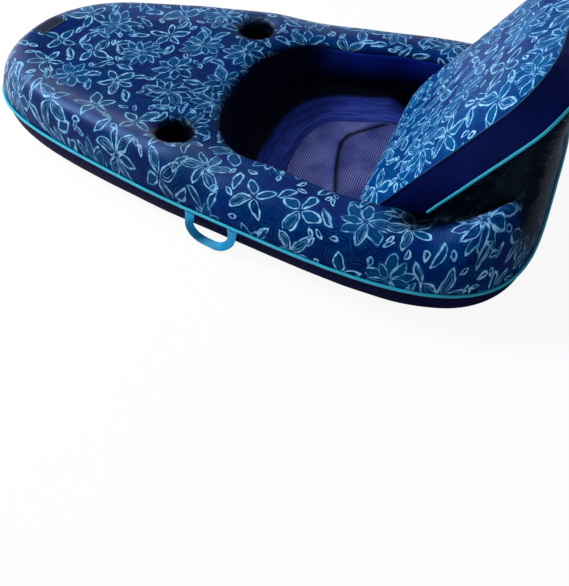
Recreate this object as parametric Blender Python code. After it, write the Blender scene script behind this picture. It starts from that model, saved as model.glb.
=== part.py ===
"""Inflatable pool chair with a fabric cover, built in metres with +Z up.

The foot end points to -X and the head end to +X. The chair stands on Z = 0, and its origin is the middle of
its footprint. A ring of welded bladders goes round a seat well. Its foot section is a wide deck with two cup
wells, and its rear section rises into the riser that carries the backrest.
"""
import math

import bmesh
import bpy
import numpy as np
from mathutils import Matrix, Vector

for leftover in list(bpy.data.objects):
    bpy.data.objects.remove(leftover, do_unlink=True)

# Ring, measured at its seam, which is its widest line
RING_WIDTH = 1.09
SEAM_HEIGHT = 0.102
SIDE_HEIGHT = 0.208
DECK_RIM_HEIGHT = 0.226
DECK_HEIGHT = 0.213
SHOULDER_REACH = 0.095
BILGE_REACH = 0.078
LENGTH_SHARES = (-1.0, -0.5, 0.0, 0.5, 1.0)
WIDTH_SHARES = (0.917, 0.782, 0.878, 1.006, 1.083)
FOOT_ROUNDNESS = 2.14
HEAD_ROUNDNESS = 4.4
SHOULDER_SHARE = 0.56
SIDE_TURN = math.radians(60)

# Rear ends of the side tubes, which climb beside the riser with a valley between
HORN_START = 0.16
HORN_LENGTH = 0.25
HORN_RISE = 0.14
VALLEY_DEPTH = 0.060
VALLEY_SHARE = 0.62
RISER_FADE_HEIGHT = 0.060

# Seat well, cut out of the ring behind the deck
DECK_LENGTH = 0.80
WELL_FRONT_WIDTH = 0.627
WELL_SIDE_CLEARANCE = 0.006
WELL_ROUNDING = 0.21
WELL_ROUNDNESS = 2.25
WELL_EDGE_HEIGHT = 0.190
WELL_EDGE_ROUNDING = 0.075
WELL_TAPER_LENGTH = 0.27
FRONT_WALL_SLOPE = 0.090
WALL_BULGE = 0.014

# Seat sling
SLING_THICKNESS = 0.0022
BORDER_HEIGHT = 0.062
BORDER_DROP_LENGTH = 0.075
BORDER_SHARES = (1.0, 0.93, 0.86, 0.79, 0.72)
BORDER_RISE_SHARES = (1.0, 0.60, 0.27, 0.07, 0.0)
MESH_SHARES = (0.72, 0.50, 0.25)

# Backrest, a slab that leans back between the side tubes
SEAT_LENGTH = 0.48
BACKREST_TILT = math.radians(53)
BACKREST_LENGTH = 0.77
BACKREST_WIDTH = 0.70
BACKREST_DEPTH = 0.100
BACKREST_CROWN = 0.022
RISER_OVERHANG = 0.0333
CUT_ALLOWANCE = 0.030
RISER_PANEL_HEM = 0.015
TOP_CORNER_RADIUS = 0.155
BASE_CORNER_RADIUS = 0.035
CROWN_SHARES = (1.0, 0.94, 0.84, 0.66, 0.40)
CROWN_RISE_SHARES = (0.0, 0.36, 0.66, 0.90, 0.985)

# Skins and clearances
FABRIC = 0.0020
VINYL = 0.0025
WEB = 0.0020
GAP = 0.0003
SEWN_GAP = 0.0014
PIPING_RADIUS = 0.0042

# Cup wells
CUP_RADIUS = 0.050
CUP_BASE_RADIUS = 0.044
CUP_DEPTH = 0.095
CUP_SINK = 0.003
CUP_WALL = 0.0016
CUP_MARGIN = 0.1492
CUP_SETBACK = 0.060

# Grab handles
HANDLE_SETBACK = 0.142
HANDLE_SPAN = 0.164
HANDLE_DROP = 0.079
WEBBING_WIDTH = 0.022
WEBBING_THICKNESS = 0.0020
HANDLE_ROUNDNESS = 2.6

# Valves
FLANGE_RADIUS = 0.0235
FLANGE_THICKNESS = 0.0022
NECK_RADIUS = 0.0150
BORE_RADIUS = 0.0120
NECK_LENGTH = 0.0120
INSERT_THICKNESS = 0.0035
INSERT_DEPTH = 0.0050
INSERT_HOLE_RADIUS = 0.0022
INSERT_HOLE_CIRCLE = 0.0060
CAP_RADIUS = 0.0190
CAP_THICKNESS = 0.0022
PLUG_RADIUS = 0.0112
PLUG_LENGTH = 0.0032
HINGE_RADIUS = 0.0013
HINGE_WIDTH = 0.010
HINGE_REACH = 0.0216
VALVE_HOLE_MARGIN = 0.0015
BACKREST_VALVE_HEIGHT = 0.43

# Air ports and inner webs
PORT_RADIUS = 0.022
DECK_WEB_SPACING = 0.150
DECK_WEB_START = 0.160
DECK_WEB_LENGTH = 0.50
BACKREST_WEB_SPACING = 0.170
BACKREST_WEB_START = 0.10
BACKREST_WEB_LENGTH = 0.54
RISER_WEB_SPACING = 0.240
RISER_WEB_LENGTH = 0.26
RISER_WEB_START = 0.10

# Mesh density, and where along the seat its rays meet
EYE_SHARE = 0.833
HALF_STATIONS = 27
SHOULDER_STEPS = 5
TOP_STEPS = 8
BUNCHING_SHARE = 0.75
HANDLE_STEPS = 16
BILGE_STEPS = 4
TURN_LENGTH = 0.22
FINE = 2000
ROUND_SIDES = 24

SLOPE = Vector((math.cos(BACKREST_TILT), 0, math.sin(BACKREST_TILT)))
FACING = Vector((-math.sin(BACKREST_TILT), 0, math.cos(BACKREST_TILT)))
BACKREST_RUN = BACKREST_DEPTH * SLOPE.z + BACKREST_LENGTH * SLOPE.x
RING_LENGTH = DECK_LENGTH + SEAT_LENGTH + BACKREST_RUN - RISER_OVERHANG
HALF_LENGTH = RING_LENGTH / 2
HALF_WIDTH = RING_WIDTH / 2
DECK_EDGE_X = -HALF_LENGTH + DECK_LENGTH
PANEL_BASE_X = DECK_EDGE_X + SEAT_LENGTH
BACK_BASE = Vector((PANEL_BASE_X + BACKREST_DEPTH * math.sin(BACKREST_TILT), 0, SLING_THICKNESS + GAP))
RISER_FACE_X = BACK_BASE.x - BACK_BASE.z / math.tan(BACKREST_TILT) + GAP / math.sin(BACKREST_TILT)
EYE_X = DECK_EDGE_X + SEAT_LENGTH * EYE_SHARE
WELL_REAR_WIDTH = BACKREST_WIDTH + 2 * WELL_SIDE_CLEARANCE


def half_width(x):
    """Half the ring's width at its seam, a taper on a superellipse that is blunter at the head."""
    share = np.clip(np.asarray(x, float) / HALF_LENGTH, -1, 1)
    power = np.where(share < 0, FOOT_ROUNDNESS, HEAD_ROUNDNESS)
    taper = np.polyval(np.polyfit(LENGTH_SHARES, WIDTH_SHARES, len(LENGTH_SHARES) - 1), share)
    return HALF_WIDTH * taper * (1 - np.abs(share) ** power) ** (1 / power)


def smooth(share):
    share = np.clip(share, 0, 1)
    return share * share * (3 - 2 * share)


def mix(first, second, share):
    return first * (1 - share) + second * share


def well_half_width(x):
    """Half the well's width at height WELL_EDGE_HEIGHT, without its rounded front."""
    taper = smooth((np.asarray(x) - DECK_EDGE_X - WELL_ROUNDING) / WELL_TAPER_LENGTH)
    return mix(WELL_FRONT_WIDTH, WELL_REAR_WIDTH, taper) / 2


def well_outline(front_x):
    """Upper half of the well's outline in plan, from its front middle to the riser's top edge."""
    turn = np.linspace(0, math.pi / 2, FINE)
    round_x = front_x + WELL_ROUNDING * (1 - np.cos(turn) ** (2 / WELL_ROUNDNESS))
    round_y = well_half_width(round_x) * np.sin(turn) ** (2 / WELL_ROUNDNESS)
    corner = TOP_CORNER_RADIUS + WELL_SIDE_CLEARANCE
    top = BACKREST_LENGTH + WELL_SIDE_CLEARANCE
    side_x = np.linspace(front_x + WELL_ROUNDING, RISER_FACE_X + (top - corner) * SLOPE.x, FINE)
    up = top - corner + corner * np.sin(turn)
    across = WELL_REAR_WIDTH / 2 - corner * (1 - np.cos(turn))
    return (np.concatenate([round_x, side_x, RISER_FACE_X + up * SLOPE.x, [RISER_FACE_X + top * SLOPE.x]]),
            np.concatenate([round_y, well_half_width(side_x), across, [0.0]]))


def polar(x, y):
    """Angle and distance of an outline's points, seen from the middle of the seat, for rays to meet."""
    angle = np.arctan2(y, x - EYE_X)
    order = np.argsort(angle)
    return angle[order], np.hypot(x - EYE_X, y)[order]


RING_X = -HALF_LENGTH * np.cos(np.linspace(0, math.pi, FINE))
RING_POLAR = polar(RING_X, half_width(RING_X))
WELL_POLAR = polar(*well_outline(DECK_EDGE_X))
FLOOR_POLAR = polar(*well_outline(DECK_EDGE_X + FRONT_WALL_SLOPE))


def station_angles():
    """Rays from the seat to the ring, closest together where the ring turns most, mirrored about Y = 0."""
    x, y = RING_X, half_width(RING_X)
    heading = np.unwrap(np.arctan2(np.gradient(y), np.gradient(x)))
    step = np.hypot(np.diff(x), np.diff(y)) + TURN_LENGTH * np.abs(np.diff(heading))
    travelled = np.concatenate([[0], np.cumsum(step)])
    places = np.linspace(0, travelled[-1], HALF_STATIONS + 1)
    angles = np.arctan2(np.interp(places, travelled, y), np.interp(places, travelled, x) - EYE_X)
    corner = math.atan2(WELL_REAR_WIDTH / 2, RISER_FACE_X - EYE_X)
    angles[np.argmin(np.abs(angles - corner))] = corner
    return np.concatenate([angles, -angles[-2:0:-1]])


ANGLES = station_angles()
STATIONS = len(ANGLES)


def section(angle):
    """Outline of the ring in the plane of one ray, as (distance from the seat, height) pairs.

    It runs over the top from the seam to the well's edge, down the wall to the floor and back under the ring.
    Towards the head the top climbs to the riser's edge, with the tube's own rear end beside it. Behind the
    backrest the inner side stands forward of the riser's face, where riser_cutter takes it away.
    """
    side = abs(angle)
    outer = np.interp(side, *RING_POLAR)
    edge = np.interp(side, *WELL_POLAR)
    floor = np.interp(side, *FLOOR_POLAR)
    ahead = math.cos(angle)
    edge_x = EYE_X + edge * ahead
    climb = math.tan(BACKREST_TILT)
    edge_z = max(WELL_EDGE_HEIGHT, (edge_x - RISER_FACE_X) * climb)
    lift = smooth((edge_z - WELL_EDGE_HEIGHT) / (BACKREST_LENGTH * SLOPE.z - WELL_EDGE_HEIGHT))

    outer_x = EYE_X + outer * ahead
    deckness = smooth((DECK_EDGE_X - outer_x) / WELL_ROUNDING + 1 / 2)
    rim = mix(SIDE_HEIGHT, DECK_RIM_HEIGHT, deckness)
    plain = mix(SIDE_HEIGHT, DECK_HEIGHT, deckness)
    width = outer - edge
    shoulder = min(SHOULDER_REACH, SHOULDER_SHARE * max(width, 0))
    crest_x = EYE_X + (outer - shoulder) * ahead
    horn = smooth((crest_x - RISER_FACE_X - HORN_START) / HORN_LENGTH)
    rim += HORN_RISE * horn
    turn = np.linspace(0, math.pi / 2, SHOULDER_STEPS + 1)
    over = [(outer - shoulder * (1 - math.cos(t)), mix(SEAM_HEIGHT, rim, math.sin(t))) for t in turn]
    for share in np.linspace(0, 1, TOP_STEPS + 1)[1:]:
        if deckness > 0:
            inward = smooth_bunch(share)
        else:
            inward = share ** mix(1.0, 2.0, lift)
        distance = outer - shoulder - (width - shoulder) * inward
        level = plain_height(distance, outer - shoulder, edge, rim, plain)
        behind = riser_height(share, rim, edge_z, VALLEY_DEPTH * horn, lift)
        level = mix(level, behind, smooth((edge_z - WELL_EDGE_HEIGHT) / RISER_FADE_HEIGHT))
        over.append((distance, level))

    foot = (wall_distance(angle, 0.0, edge, floor), 0.0)
    wall = [(wall_distance(angle, z, edge, floor), z) for z in (edge_z * 2 / 3, edge_z / 3)]
    if edge_x > RISER_FACE_X + GAP:
        foot = (foot[0] - CUT_ALLOWANCE, 0.0)
        top = edge - CUT_ALLOWANCE
        wall = [(top, edge_z), ((top + foot[0]) / 2, edge_z / 2)]

    flat = outer - BILGE_REACH
    under = [foot, mix(np.array(foot), np.array((flat, 0.0)), 1 / 2), (flat, 0.0)]
    turn = np.linspace(0, math.pi / 2, BILGE_STEPS + 1)[1:-1]
    under += [(flat + BILGE_REACH * math.sin(t), SEAM_HEIGHT * (1 - math.cos(t))) for t in turn]
    return np.array([tuple(p) for p in over + wall + under], float)


def smooth_bunch(share):
    """Share of the deck's width, with the steps closer together at both ends."""
    return mix(share, smooth(share), BUNCHING_SHARE)


def plain_height(distance, start, edge, rim, plain):
    """Height of the top between its rim and the well's rounded edge."""
    settle = smooth((start - distance) / SHOULDER_REACH)
    level = mix(rim, plain, settle)
    reach = np.clip((edge + WELL_EDGE_ROUNDING - distance) / WELL_EDGE_ROUNDING, 0, 1)
    return WELL_EDGE_HEIGHT + (level - WELL_EDGE_HEIGHT) * math.sqrt(1 - reach * reach)


def riser_height(share, rim, edge_z, depth, lift):
    """Height between the tube's crest and the riser's top edge: down a valley, then up the riser's side.

    Behind the backrest, where there is no tube beside the riser, it is a plain climb.
    """
    down = rim - depth * smooth(share / VALLEY_SHARE)
    valley = down + (edge_z - rim + depth) * smooth((share - VALLEY_SHARE) / (1 - VALLEY_SHARE))
    return mix(valley, mix(rim, edge_z, share), smooth(2 * lift - 1))


def wall_distance(angle, z, edge, floor):
    """Distance from the seat at which the wall of the well, or the riser's face, stands at height z."""
    share = min(z / WELL_EDGE_HEIGHT, 1)
    wall = mix(floor, edge, share) - WALL_BULGE * math.sin(math.pi * share) * (1 - smooth(edge_ahead(angle)))
    if math.cos(angle) <= 0:
        return wall
    face = (RISER_FACE_X - EYE_X + z / math.tan(BACKREST_TILT)) / math.cos(angle)
    return min(wall, face)


def edge_ahead(angle):
    """How far a ray looks towards the head: 0 up to square across the seat, and 1 a little beyond."""
    return math.cos(angle) / math.cos(SIDE_TURN) + 1 / 2


SECTIONS = [section(angle) for angle in ANGLES]
OVER = SHOULDER_STEPS + TOP_STEPS
WALL_END = OVER + 3
AROUND = len(SECTIONS[0])


def inset(points, distance):
    """Closed outline moved inward by a distance, with mitred corners."""
    ahead = np.roll(points, -1, axis=0) - points
    ahead /= np.linalg.norm(ahead, axis=1)[:, None]
    inward = np.stack([ahead[:, 1], -ahead[:, 0]], axis=1)
    if np.sum(points[:, 0] * np.roll(points[:, 1], -1) - points[:, 1] * np.roll(points[:, 0], -1)) > 0:
        inward = -inward
    before = np.roll(inward, 1, axis=0)
    mitre = (inward + before) / (1 + np.sum(inward * before, axis=1))[:, None]
    return points + distance * mitre


def in_space(angle, points):
    """World points of a section's (distance, height) pairs."""
    return [(EYE_X + r * math.cos(angle), r * math.sin(angle), z) for r, z in points]


def part_of(points, first, last, trim):
    """Run of a closed outline from one corner to another, cut back at both ends."""
    count = len(points)
    run = [points[i % count] for i in range(first, last + 1)]
    start = run[1] - run[0]
    end = run[-2] - run[-1]
    run[0] = run[0] + start / np.linalg.norm(start) * trim
    run[-1] = run[-1] + end / np.linalg.norm(end) * trim
    return np.array(run)


def material(name, colour, roughness, metallic=0.0):
    made = bpy.data.materials.new(name)
    made.use_nodes = True
    made.diffuse_color = (*colour, 1)
    shader = made.node_tree.nodes["Principled BSDF"]
    shader.inputs["Base Color"].default_value = (*colour, 1)
    shader.inputs["Roughness"].default_value = roughness
    shader.inputs["Metallic"].default_value = metallic
    return made


def add_mesh(name, mesh, finish, smooth_angle=math.radians(40)):
    body = bpy.data.objects.new(name, mesh)
    bpy.context.collection.objects.link(body)
    mesh.materials.clear()
    mesh.materials.append(finish)
    mesh.shade_smooth()
    mesh.set_sharp_from_angle(angle=smooth_angle)
    return body


def loft(rings, closed, cap=False, stations=None, fold=FINE):
    """Mesh of rings of points, each ring a closed loop. A closed loft joins its last ring to its first.

    Given the stations of the rings, each face is split along one diagonal on the far side and along the other
    on the near side, so that nested skins have parallel facets and the two sides mirror each other. From the
    point where a ring folds back on itself, the points run the other way and so do the diagonals.
    """
    shape = bmesh.new()
    rows = [[shape.verts.new(p) for p in ring] for ring in rings]
    pairs = list(zip(rows, rows[1:])) + ([(rows[-1], rows[0])] if closed else [])
    for number, (one, other) in enumerate(pairs):
        for i in range(len(one)):
            j = (i + 1) % len(one)
            if stations is None:
                shape.faces.new((one[i], one[j], other[j], other[i]))
            elif (stations[number] % STATIONS < HALF_STATIONS) == (i < fold):
                shape.faces.new((one[i], one[j], other[i]))
                shape.faces.new((one[j], other[j], other[i]))
            else:
                shape.faces.new((one[i], one[j], other[j]))
                shape.faces.new((one[i], other[j], other[i]))
    if cap:
        shape.faces.new(rows[0][::-1])
        shape.faces.new(rows[-1])
    bmesh.ops.recalc_face_normals(shape, faces=shape.faces)
    mesh = bpy.data.meshes.new("loft")
    shape.to_mesh(mesh)
    shape.free()
    return mesh


def boolean(body, cutter, operation="DIFFERENCE"):
    """Applied Boolean, after which the cutter is gone."""
    cut = body.modifiers.new(operation.title(), "BOOLEAN")
    cut.operation = operation
    cut.solver = "EXACT"
    cut.object = cutter
    bpy.context.view_layer.update()
    view = bpy.context.evaluated_depsgraph_get()
    mesh = bpy.data.meshes.new_from_object(body.evaluated_get(view))
    body.modifiers.clear()
    body.data = mesh
    bpy.data.objects.remove(cutter, do_unlink=True)
    return body


def temporary(mesh):
    body = bpy.data.objects.new("temporary", mesh)
    bpy.context.collection.objects.link(body)
    return body


def cylinder(radius, length, place=Matrix(), top_radius=None, sides=ROUND_SIDES):
    """Temporary cylinder or cone whose base is at its place and whose axis is that place's Z."""
    shape = bmesh.new()
    bmesh.ops.create_cone(shape, cap_ends=True, segments=sides, radius1=radius,
                          radius2=radius if top_radius is None else top_radius, depth=length,
                          matrix=place @ Matrix.Translation((0, 0, length / 2)))
    mesh = bpy.data.meshes.new("cylinder")
    shape.to_mesh(mesh)
    shape.free()
    return temporary(mesh)


def box(low, high, place=Matrix()):
    """Temporary box between two corners of its place's own frame."""
    shape = bmesh.new()
    bmesh.ops.create_cube(shape, size=1)
    size = Vector(high) - Vector(low)
    middle = (Vector(high) + Vector(low)) / 2
    bmesh.ops.transform(shape, verts=shape.verts, matrix=place @ Matrix.Translation(middle) @ Matrix.Diagonal(
        (*size, 1)))
    mesh = bpy.data.meshes.new("box")
    shape.to_mesh(mesh)
    shape.free()
    return temporary(mesh)


PRINT = material("printed_polyester", (0.012, 0.085, 0.27), 0.55)
NAVY = material("navy_polyester", (0.010, 0.014, 0.075), 0.60)
WALL_FABRIC = material("well_polyester", (0.006, 0.008, 0.04), 0.65)
NET = material("seat_net", (0.045, 0.04, 0.20), 0.70)
BORDER = material("seat_border_net", (0.012, 0.020, 0.14), 0.70)
CYAN = material("cyan_webbing", (0.014, 0.45, 0.64), 0.55)
CORD = material("cyan_piping", (0.020, 0.42, 0.58), 0.50)
SKIN = material("bladder_vinyl", (0.10, 0.13, 0.22), 0.35)
LINER = material("cup_liner_vinyl", (0.008, 0.010, 0.03), 0.45)
PLASTIC = material("valve_plastic", (0.02, 0.03, 0.08), 0.40)


def ring_strip(name, first, last, finish, stations=None):
    """Fabric panel of the ring's cover, between two corners of every section, right round or in part."""
    rings = []
    run = list(range(STATIONS)) if stations is None else stations
    for index in run:
        angle, outline = ANGLES[index % STATIONS], SECTIONS[index % STATIONS]
        outside = part_of(outline, first, last, SEWN_GAP)
        inside = part_of(inset(outline, FABRIC), first, last, SEWN_GAP)
        rings.append(in_space(angle, np.concatenate([outside, inside[::-1]])))
    whole = stations is None
    return add_mesh(name, loft(rings, closed=whole, cap=not whole, stations=run, fold=len(outside)), finish)


def ring_body(depth, first, last, margin=0.0):
    """Solid between two stations, inset from the cover's outside and drawn back from both end planes."""
    rings = []
    stations = list(range(first, last + 1))
    for index in stations:
        angle = ANGLES[index % STATIONS]
        rings.append(in_space(angle, inset(SECTIONS[index % STATIONS], depth)))
    for end, towards, side in ((0, 1, 1), (-1, -2, -1)):
        angle = ANGLES[stations[end] % STATIONS]
        across = Vector((-math.sin(angle), math.cos(angle), 0))
        moved = []
        for here, there in zip(rings[end], rings[towards]):
            run = Vector(there) - Vector(here)
            depth_run = abs(run.dot(across))
            moved.append(Vector(here) + run * (margin / depth_run))
        rings[end] = moved
    return loft(rings, closed=False, cap=True, stations=stations)


def station_near(x):
    """Station on the +Y side whose seam point is nearest to a place along the chair."""
    seam_x = [EYE_X + np.interp(abs(a), *RING_POLAR) * math.cos(a) for a in ANGLES[:HALF_STATIONS + 1]]
    return int(np.argmin(np.abs(np.array(seam_x) - x)))


CUP_X = DECK_EDGE_X - CUP_SETBACK
CUP_Y = float(half_width(CUP_X)) - CUP_MARGIN
CUP_PLACES = [Vector((CUP_X, side * CUP_Y, DECK_HEIGHT - CUP_SINK)) for side in (1, -1)]
CUP_SEAT_RADIUS = CUP_RADIUS + CUP_WALL + GAP


def cup_cutter(extra, above):
    """Tapered hole for a cup liner, wider all round by an extra wall."""
    for place in CUP_PLACES:
        top = CUP_SEAT_RADIUS + extra
        base = CUP_BASE_RADIUS + CUP_WALL + GAP + extra
        low = place - Vector((0, 0, CUP_DEPTH + CUP_WALL + GAP + extra))
        slope = (top - base) / (place.z - low.z)
        height = place.z - low.z + above
        yield cylinder(base, height, Matrix.Translation(low), top_radius=base + slope * height)


def port(index):
    """Air port through the end walls of two sections, at a station's plane."""
    angle = ANGLES[index % STATIONS]
    middle = np.mean(in_space(angle, SECTIONS[index % STATIONS][[0, OVER, WALL_END]]), axis=0)
    across = Vector((-math.sin(angle), math.cos(angle), 0))
    reach = 3 * VINYL
    turned = across.to_track_quat("Z", "Y").to_matrix().to_4x4()
    return cylinder(PORT_RADIUS, 2 * reach, Matrix.Translation(Vector(middle) - across * reach) @ turned,
                    sides=ROUND_SIDES // 2)


def slab_frame():
    """Frame of the backrest: X across, Y up its slope and Z out of its front, from the base of its back."""
    across = SLOPE.cross(FACING)
    frame = Matrix((across, SLOPE, FACING)).transposed().to_4x4()
    frame.translation = BACK_BASE
    return frame


SLAB = slab_frame()


DECK_STATION = station_near(DECK_EDGE_X - CUP_SETBACK + CUP_SEAT_RADIUS * 2)
REAR_STATION = int(np.argmin(np.abs(ANGLES[:HALF_STATIONS] - math.atan2(WELL_REAR_WIDTH / 2,
                                                                        RISER_FACE_X - EYE_X))))
RISER_CLEARANCE = FABRIC + 2 * GAP
BLADDER_DEPTH = FABRIC + GAP
CAVITY_DEPTH = BLADDER_DEPTH + VINYL


def riser_cutter(depth, clearance):
    """Block in front of the riser's face, between the side tubes, for the backrest to lean in."""
    half = WELL_REAR_WIDTH / 2 + depth - GAP / 2
    return box((-half, -BACKREST_DEPTH, -clearance),
               (half, BACKREST_LENGTH + BACKREST_DEPTH, BACKREST_DEPTH + 2 * CUT_ALLOWANCE), SLAB)


def bladder(name, first, last, ports):
    """Hollow section of the ring, open to its neighbours through its air ports."""
    body = add_mesh(name, ring_body(BLADDER_DEPTH, first, last, GAP / 2), SKIN)
    hollow = temporary(ring_body(CAVITY_DEPTH, first, last, GAP / 2 + VINYL))
    if name == "rear_bladder":
        boolean(body, riser_cutter(BLADDER_DEPTH, RISER_CLEARANCE))
        boolean(hollow, riser_cutter(CAVITY_DEPTH, RISER_CLEARANCE + VINYL))
    if name == "deck_bladder":
        for cutter in cup_cutter(VINYL, CUP_DEPTH):
            boolean(hollow, cutter)
    boolean(body, hollow)
    if name == "deck_bladder":
        for cutter in cup_cutter(0.0, CUP_DEPTH):
            boolean(body, cutter)
    for index in ports:
        boolean(body, port(index))
    return body


def slab_outline(margin):
    """Outline of the backrest in its own frame, inset by a margin."""
    points = []
    half = BACKREST_WIDTH / 2
    top = BACKREST_LENGTH
    corners = ((half, 0, BASE_CORNER_RADIUS, -90, 3), (half, top, TOP_CORNER_RADIUS, 0, 6),
               (-half, top, TOP_CORNER_RADIUS, 90, 6), (-half, 0, BASE_CORNER_RADIUS, 180, 3))
    for x, y, radius, start, steps in corners:
        centre_x = x - math.copysign(radius, x)
        centre_y = y - radius if y else radius
        for step in range(steps + 1):
            turn = math.radians(start + 90 * step / steps)
            reach = radius - margin
            points.append((centre_x + reach * math.cos(turn), centre_y + reach * math.sin(turn)))
    side = BACKREST_LENGTH - TOP_CORNER_RADIUS
    middle = (half - margin, (BASE_CORNER_RADIUS + side) / 2)
    points.insert(4, middle)
    points.insert(-4, (-middle[0], middle[1]))
    return points


def crown_layers(margin, rise):
    """Rings of the crowned front, from the seam to the middle, and the height of each above the seam plane."""
    outline = slab_outline(margin)
    centre = (0.0, BACKREST_LENGTH / 2)
    for share, lift in zip(CROWN_SHARES, CROWN_RISE_SHARES):
        yield [(mix(centre[0], x, share), mix(centre[1], y, share), rise + BACKREST_CROWN * lift)
               for x, y in outline]


def fan_cap(shape, ring, point, flip=False):
    tip = shape.verts.new(point)
    for one, other in zip(ring, ring[1:] + ring[:1]):
        shape.faces.new((one, other, tip) if not flip else (other, one, tip))


def pillow(margin, back, front):
    """Closed crowned slab, inset at its outline, between a flat back and a crowned front."""
    shape = bmesh.new()
    layers = [[(x, y, back) for x, y in slab_outline(margin)]] + list(crown_layers(margin, front))
    rows = [[shape.verts.new(SLAB @ Vector(p)) for p in layer] for layer in layers]
    for one, other in zip(rows, rows[1:]):
        for i in range(len(one)):
            j = (i + 1) % len(one)
            shape.faces.new((one[i], one[j], other[j], other[i]))
    shape.faces.new(rows[0])
    fan_cap(shape, rows[-1], SLAB @ Vector((0, BACKREST_LENGTH / 2, front + BACKREST_CROWN)))
    bmesh.ops.recalc_face_normals(shape, faces=shape.faces)
    mesh = bpy.data.meshes.new("pillow")
    shape.to_mesh(mesh)
    shape.free()
    return mesh


def crowned_sheet(name, finish):
    """Front panel of the backrest, a crowned sheet whose edge meets the gusset."""
    shape = bmesh.new()
    rows = []
    for level in (BACKREST_DEPTH, BACKREST_DEPTH - FABRIC):
        layers = [[shape.verts.new(SLAB @ Vector(p)) for p in layer]
                  for layer in crown_layers(0.0, level)]
        for one, other in zip(layers, layers[1:]):
            for i in range(len(one)):
                j = (i + 1) % len(one)
                shape.faces.new((one[i], one[j], other[j], other[i]))
        fan_cap(shape, layers[-1], SLAB @ Vector((0, BACKREST_LENGTH / 2, level + BACKREST_CROWN)))
        rows.append(layers[0])
    for i in range(len(rows[0])):
        j = (i + 1) % len(rows[0])
        shape.faces.new((rows[0][i], rows[0][j], rows[1][j], rows[1][i]))
    bmesh.ops.recalc_face_normals(shape, faces=shape.faces)
    mesh = bpy.data.meshes.new(name)
    shape.to_mesh(mesh)
    shape.free()
    return add_mesh(name, mesh, finish)


def riser_panel(name, finish):
    """Flat sheet on the riser's face, behind the backrest."""
    outline = [(x, max(y, 0.0)) for x, y in slab_outline(RISER_PANEL_HEM)]
    rings = [[SLAB @ Vector((x, y, level)) for x, y in outline] for level in (-GAP, -GAP - FABRIC)]
    return add_mesh(name, loft(rings, closed=False, cap=True), finish)


def gusset(name, finish):
    """Band round the backrest, from its back to just short of its front panel."""
    low, high = 0.0, BACKREST_DEPTH - FABRIC - GAP
    outside, inside = slab_outline(0.0), slab_outline(FABRIC)
    rings = [[SLAB @ Vector((*outer, low)), SLAB @ Vector((*outer, high)),
              SLAB @ Vector((*inner, high)), SLAB @ Vector((*inner, low))]
             for outer, inner in zip(outside, inside)]
    return add_mesh(name, loft(rings, closed=True), finish)


def tube(path, radius, closed, sides=6, up=Vector((0, 0, 1))):
    """Round cord along points, each ring square to the path."""
    rings = []
    count = len(path)
    for i, point in enumerate(path):
        before = path[i - 1] if closed or i else point
        after = path[(i + 1) % count] if closed or i < count - 1 else point
        along = (after - before).normalized()
        side = along.cross(up).normalized()
        rise = side.cross(along)
        turns = [2 * math.pi * (k + 1 / 2) / sides for k in range(sides)]
        rings.append([point + radius * (side * math.cos(t) + rise * math.sin(t)) for t in turns])
    return loft(rings, closed=closed, cap=not closed)


def seam_piping():
    """Cord in the seam all round the ring, outside the two covers."""
    path = []
    for angle in ANGLES:
        distance = np.interp(abs(angle), *RING_POLAR)
        path.append(Vector((EYE_X + distance * math.cos(angle), distance * math.sin(angle), SEAM_HEIGHT)))
    moved = []
    for i, point in enumerate(path):
        along = (path[(i + 1) % STATIONS] - path[i - 1]).normalized()
        before = (point - path[i - 1]).normalized()
        out = Vector((along.y, -along.x, 0))
        if out.dot(point) < 0:
            out = -out
        bend = max(abs(along.dot(before)), 0.5)
        moved.append(point + out * (PIPING_RADIUS + GAP) / bend)
    return add_mesh("seam_piping", tube(moved, PIPING_RADIUS, closed=True), CORD)


def backrest_piping():
    """Cord along the rear edge of the gusset, from one side tube over the top to the other."""
    start = (SIDE_HEIGHT + PIPING_RADIUS * 3 - BACK_BASE.z) / SLOPE.z
    outline = slab_outline(-PIPING_RADIUS - GAP)
    shown = [p for p in outline if p[1] > start]
    half = BACKREST_WIDTH / 2 + PIPING_RADIUS + GAP
    places = [(half, start)] + [p for p in shown] + [(-half, start)]
    level = PIPING_RADIUS + GAP + FABRIC
    path = [SLAB @ Vector((x, y, level)) for x, y in places]
    return add_mesh("backrest_piping", tube(path, PIPING_RADIUS, closed=False, up=FACING), CORD)


def sling_height(x, share):
    """Height of the sling's underside at a share of the way from the well's middle to its wall."""
    fade = smooth((PANEL_BASE_X - x) / BORDER_DROP_LENGTH)
    return BORDER_HEIGHT * fade * np.interp(share, BORDER_SHARES[::-1], BORDER_RISE_SHARES[::-1])


def sling_ring(share, thickness, trim):
    """Loop of points on the sling, at a share of the way out to the wall at that point's own height."""
    loop = []
    for angle, outline in zip(ANGLES, SECTIONS):
        edge = np.interp(abs(angle), *WELL_POLAR)
        floor = np.interp(abs(angle), *FLOOR_POLAR)
        wall = wall_distance(angle, 0.0, edge, floor)
        level = sling_height(EYE_X + wall * math.cos(angle) * share, 1.0)
        reach = min(wall_distance(angle, level + SLING_THICKNESS, edge, floor),
                    wall_distance(angle, level, edge, floor)) - 2 * GAP
        distance = reach * share - trim
        x = EYE_X + distance * math.cos(angle)
        loop.append(Vector((x, distance * math.sin(angle), sling_height(x, share) + thickness)))
    return loop


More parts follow.
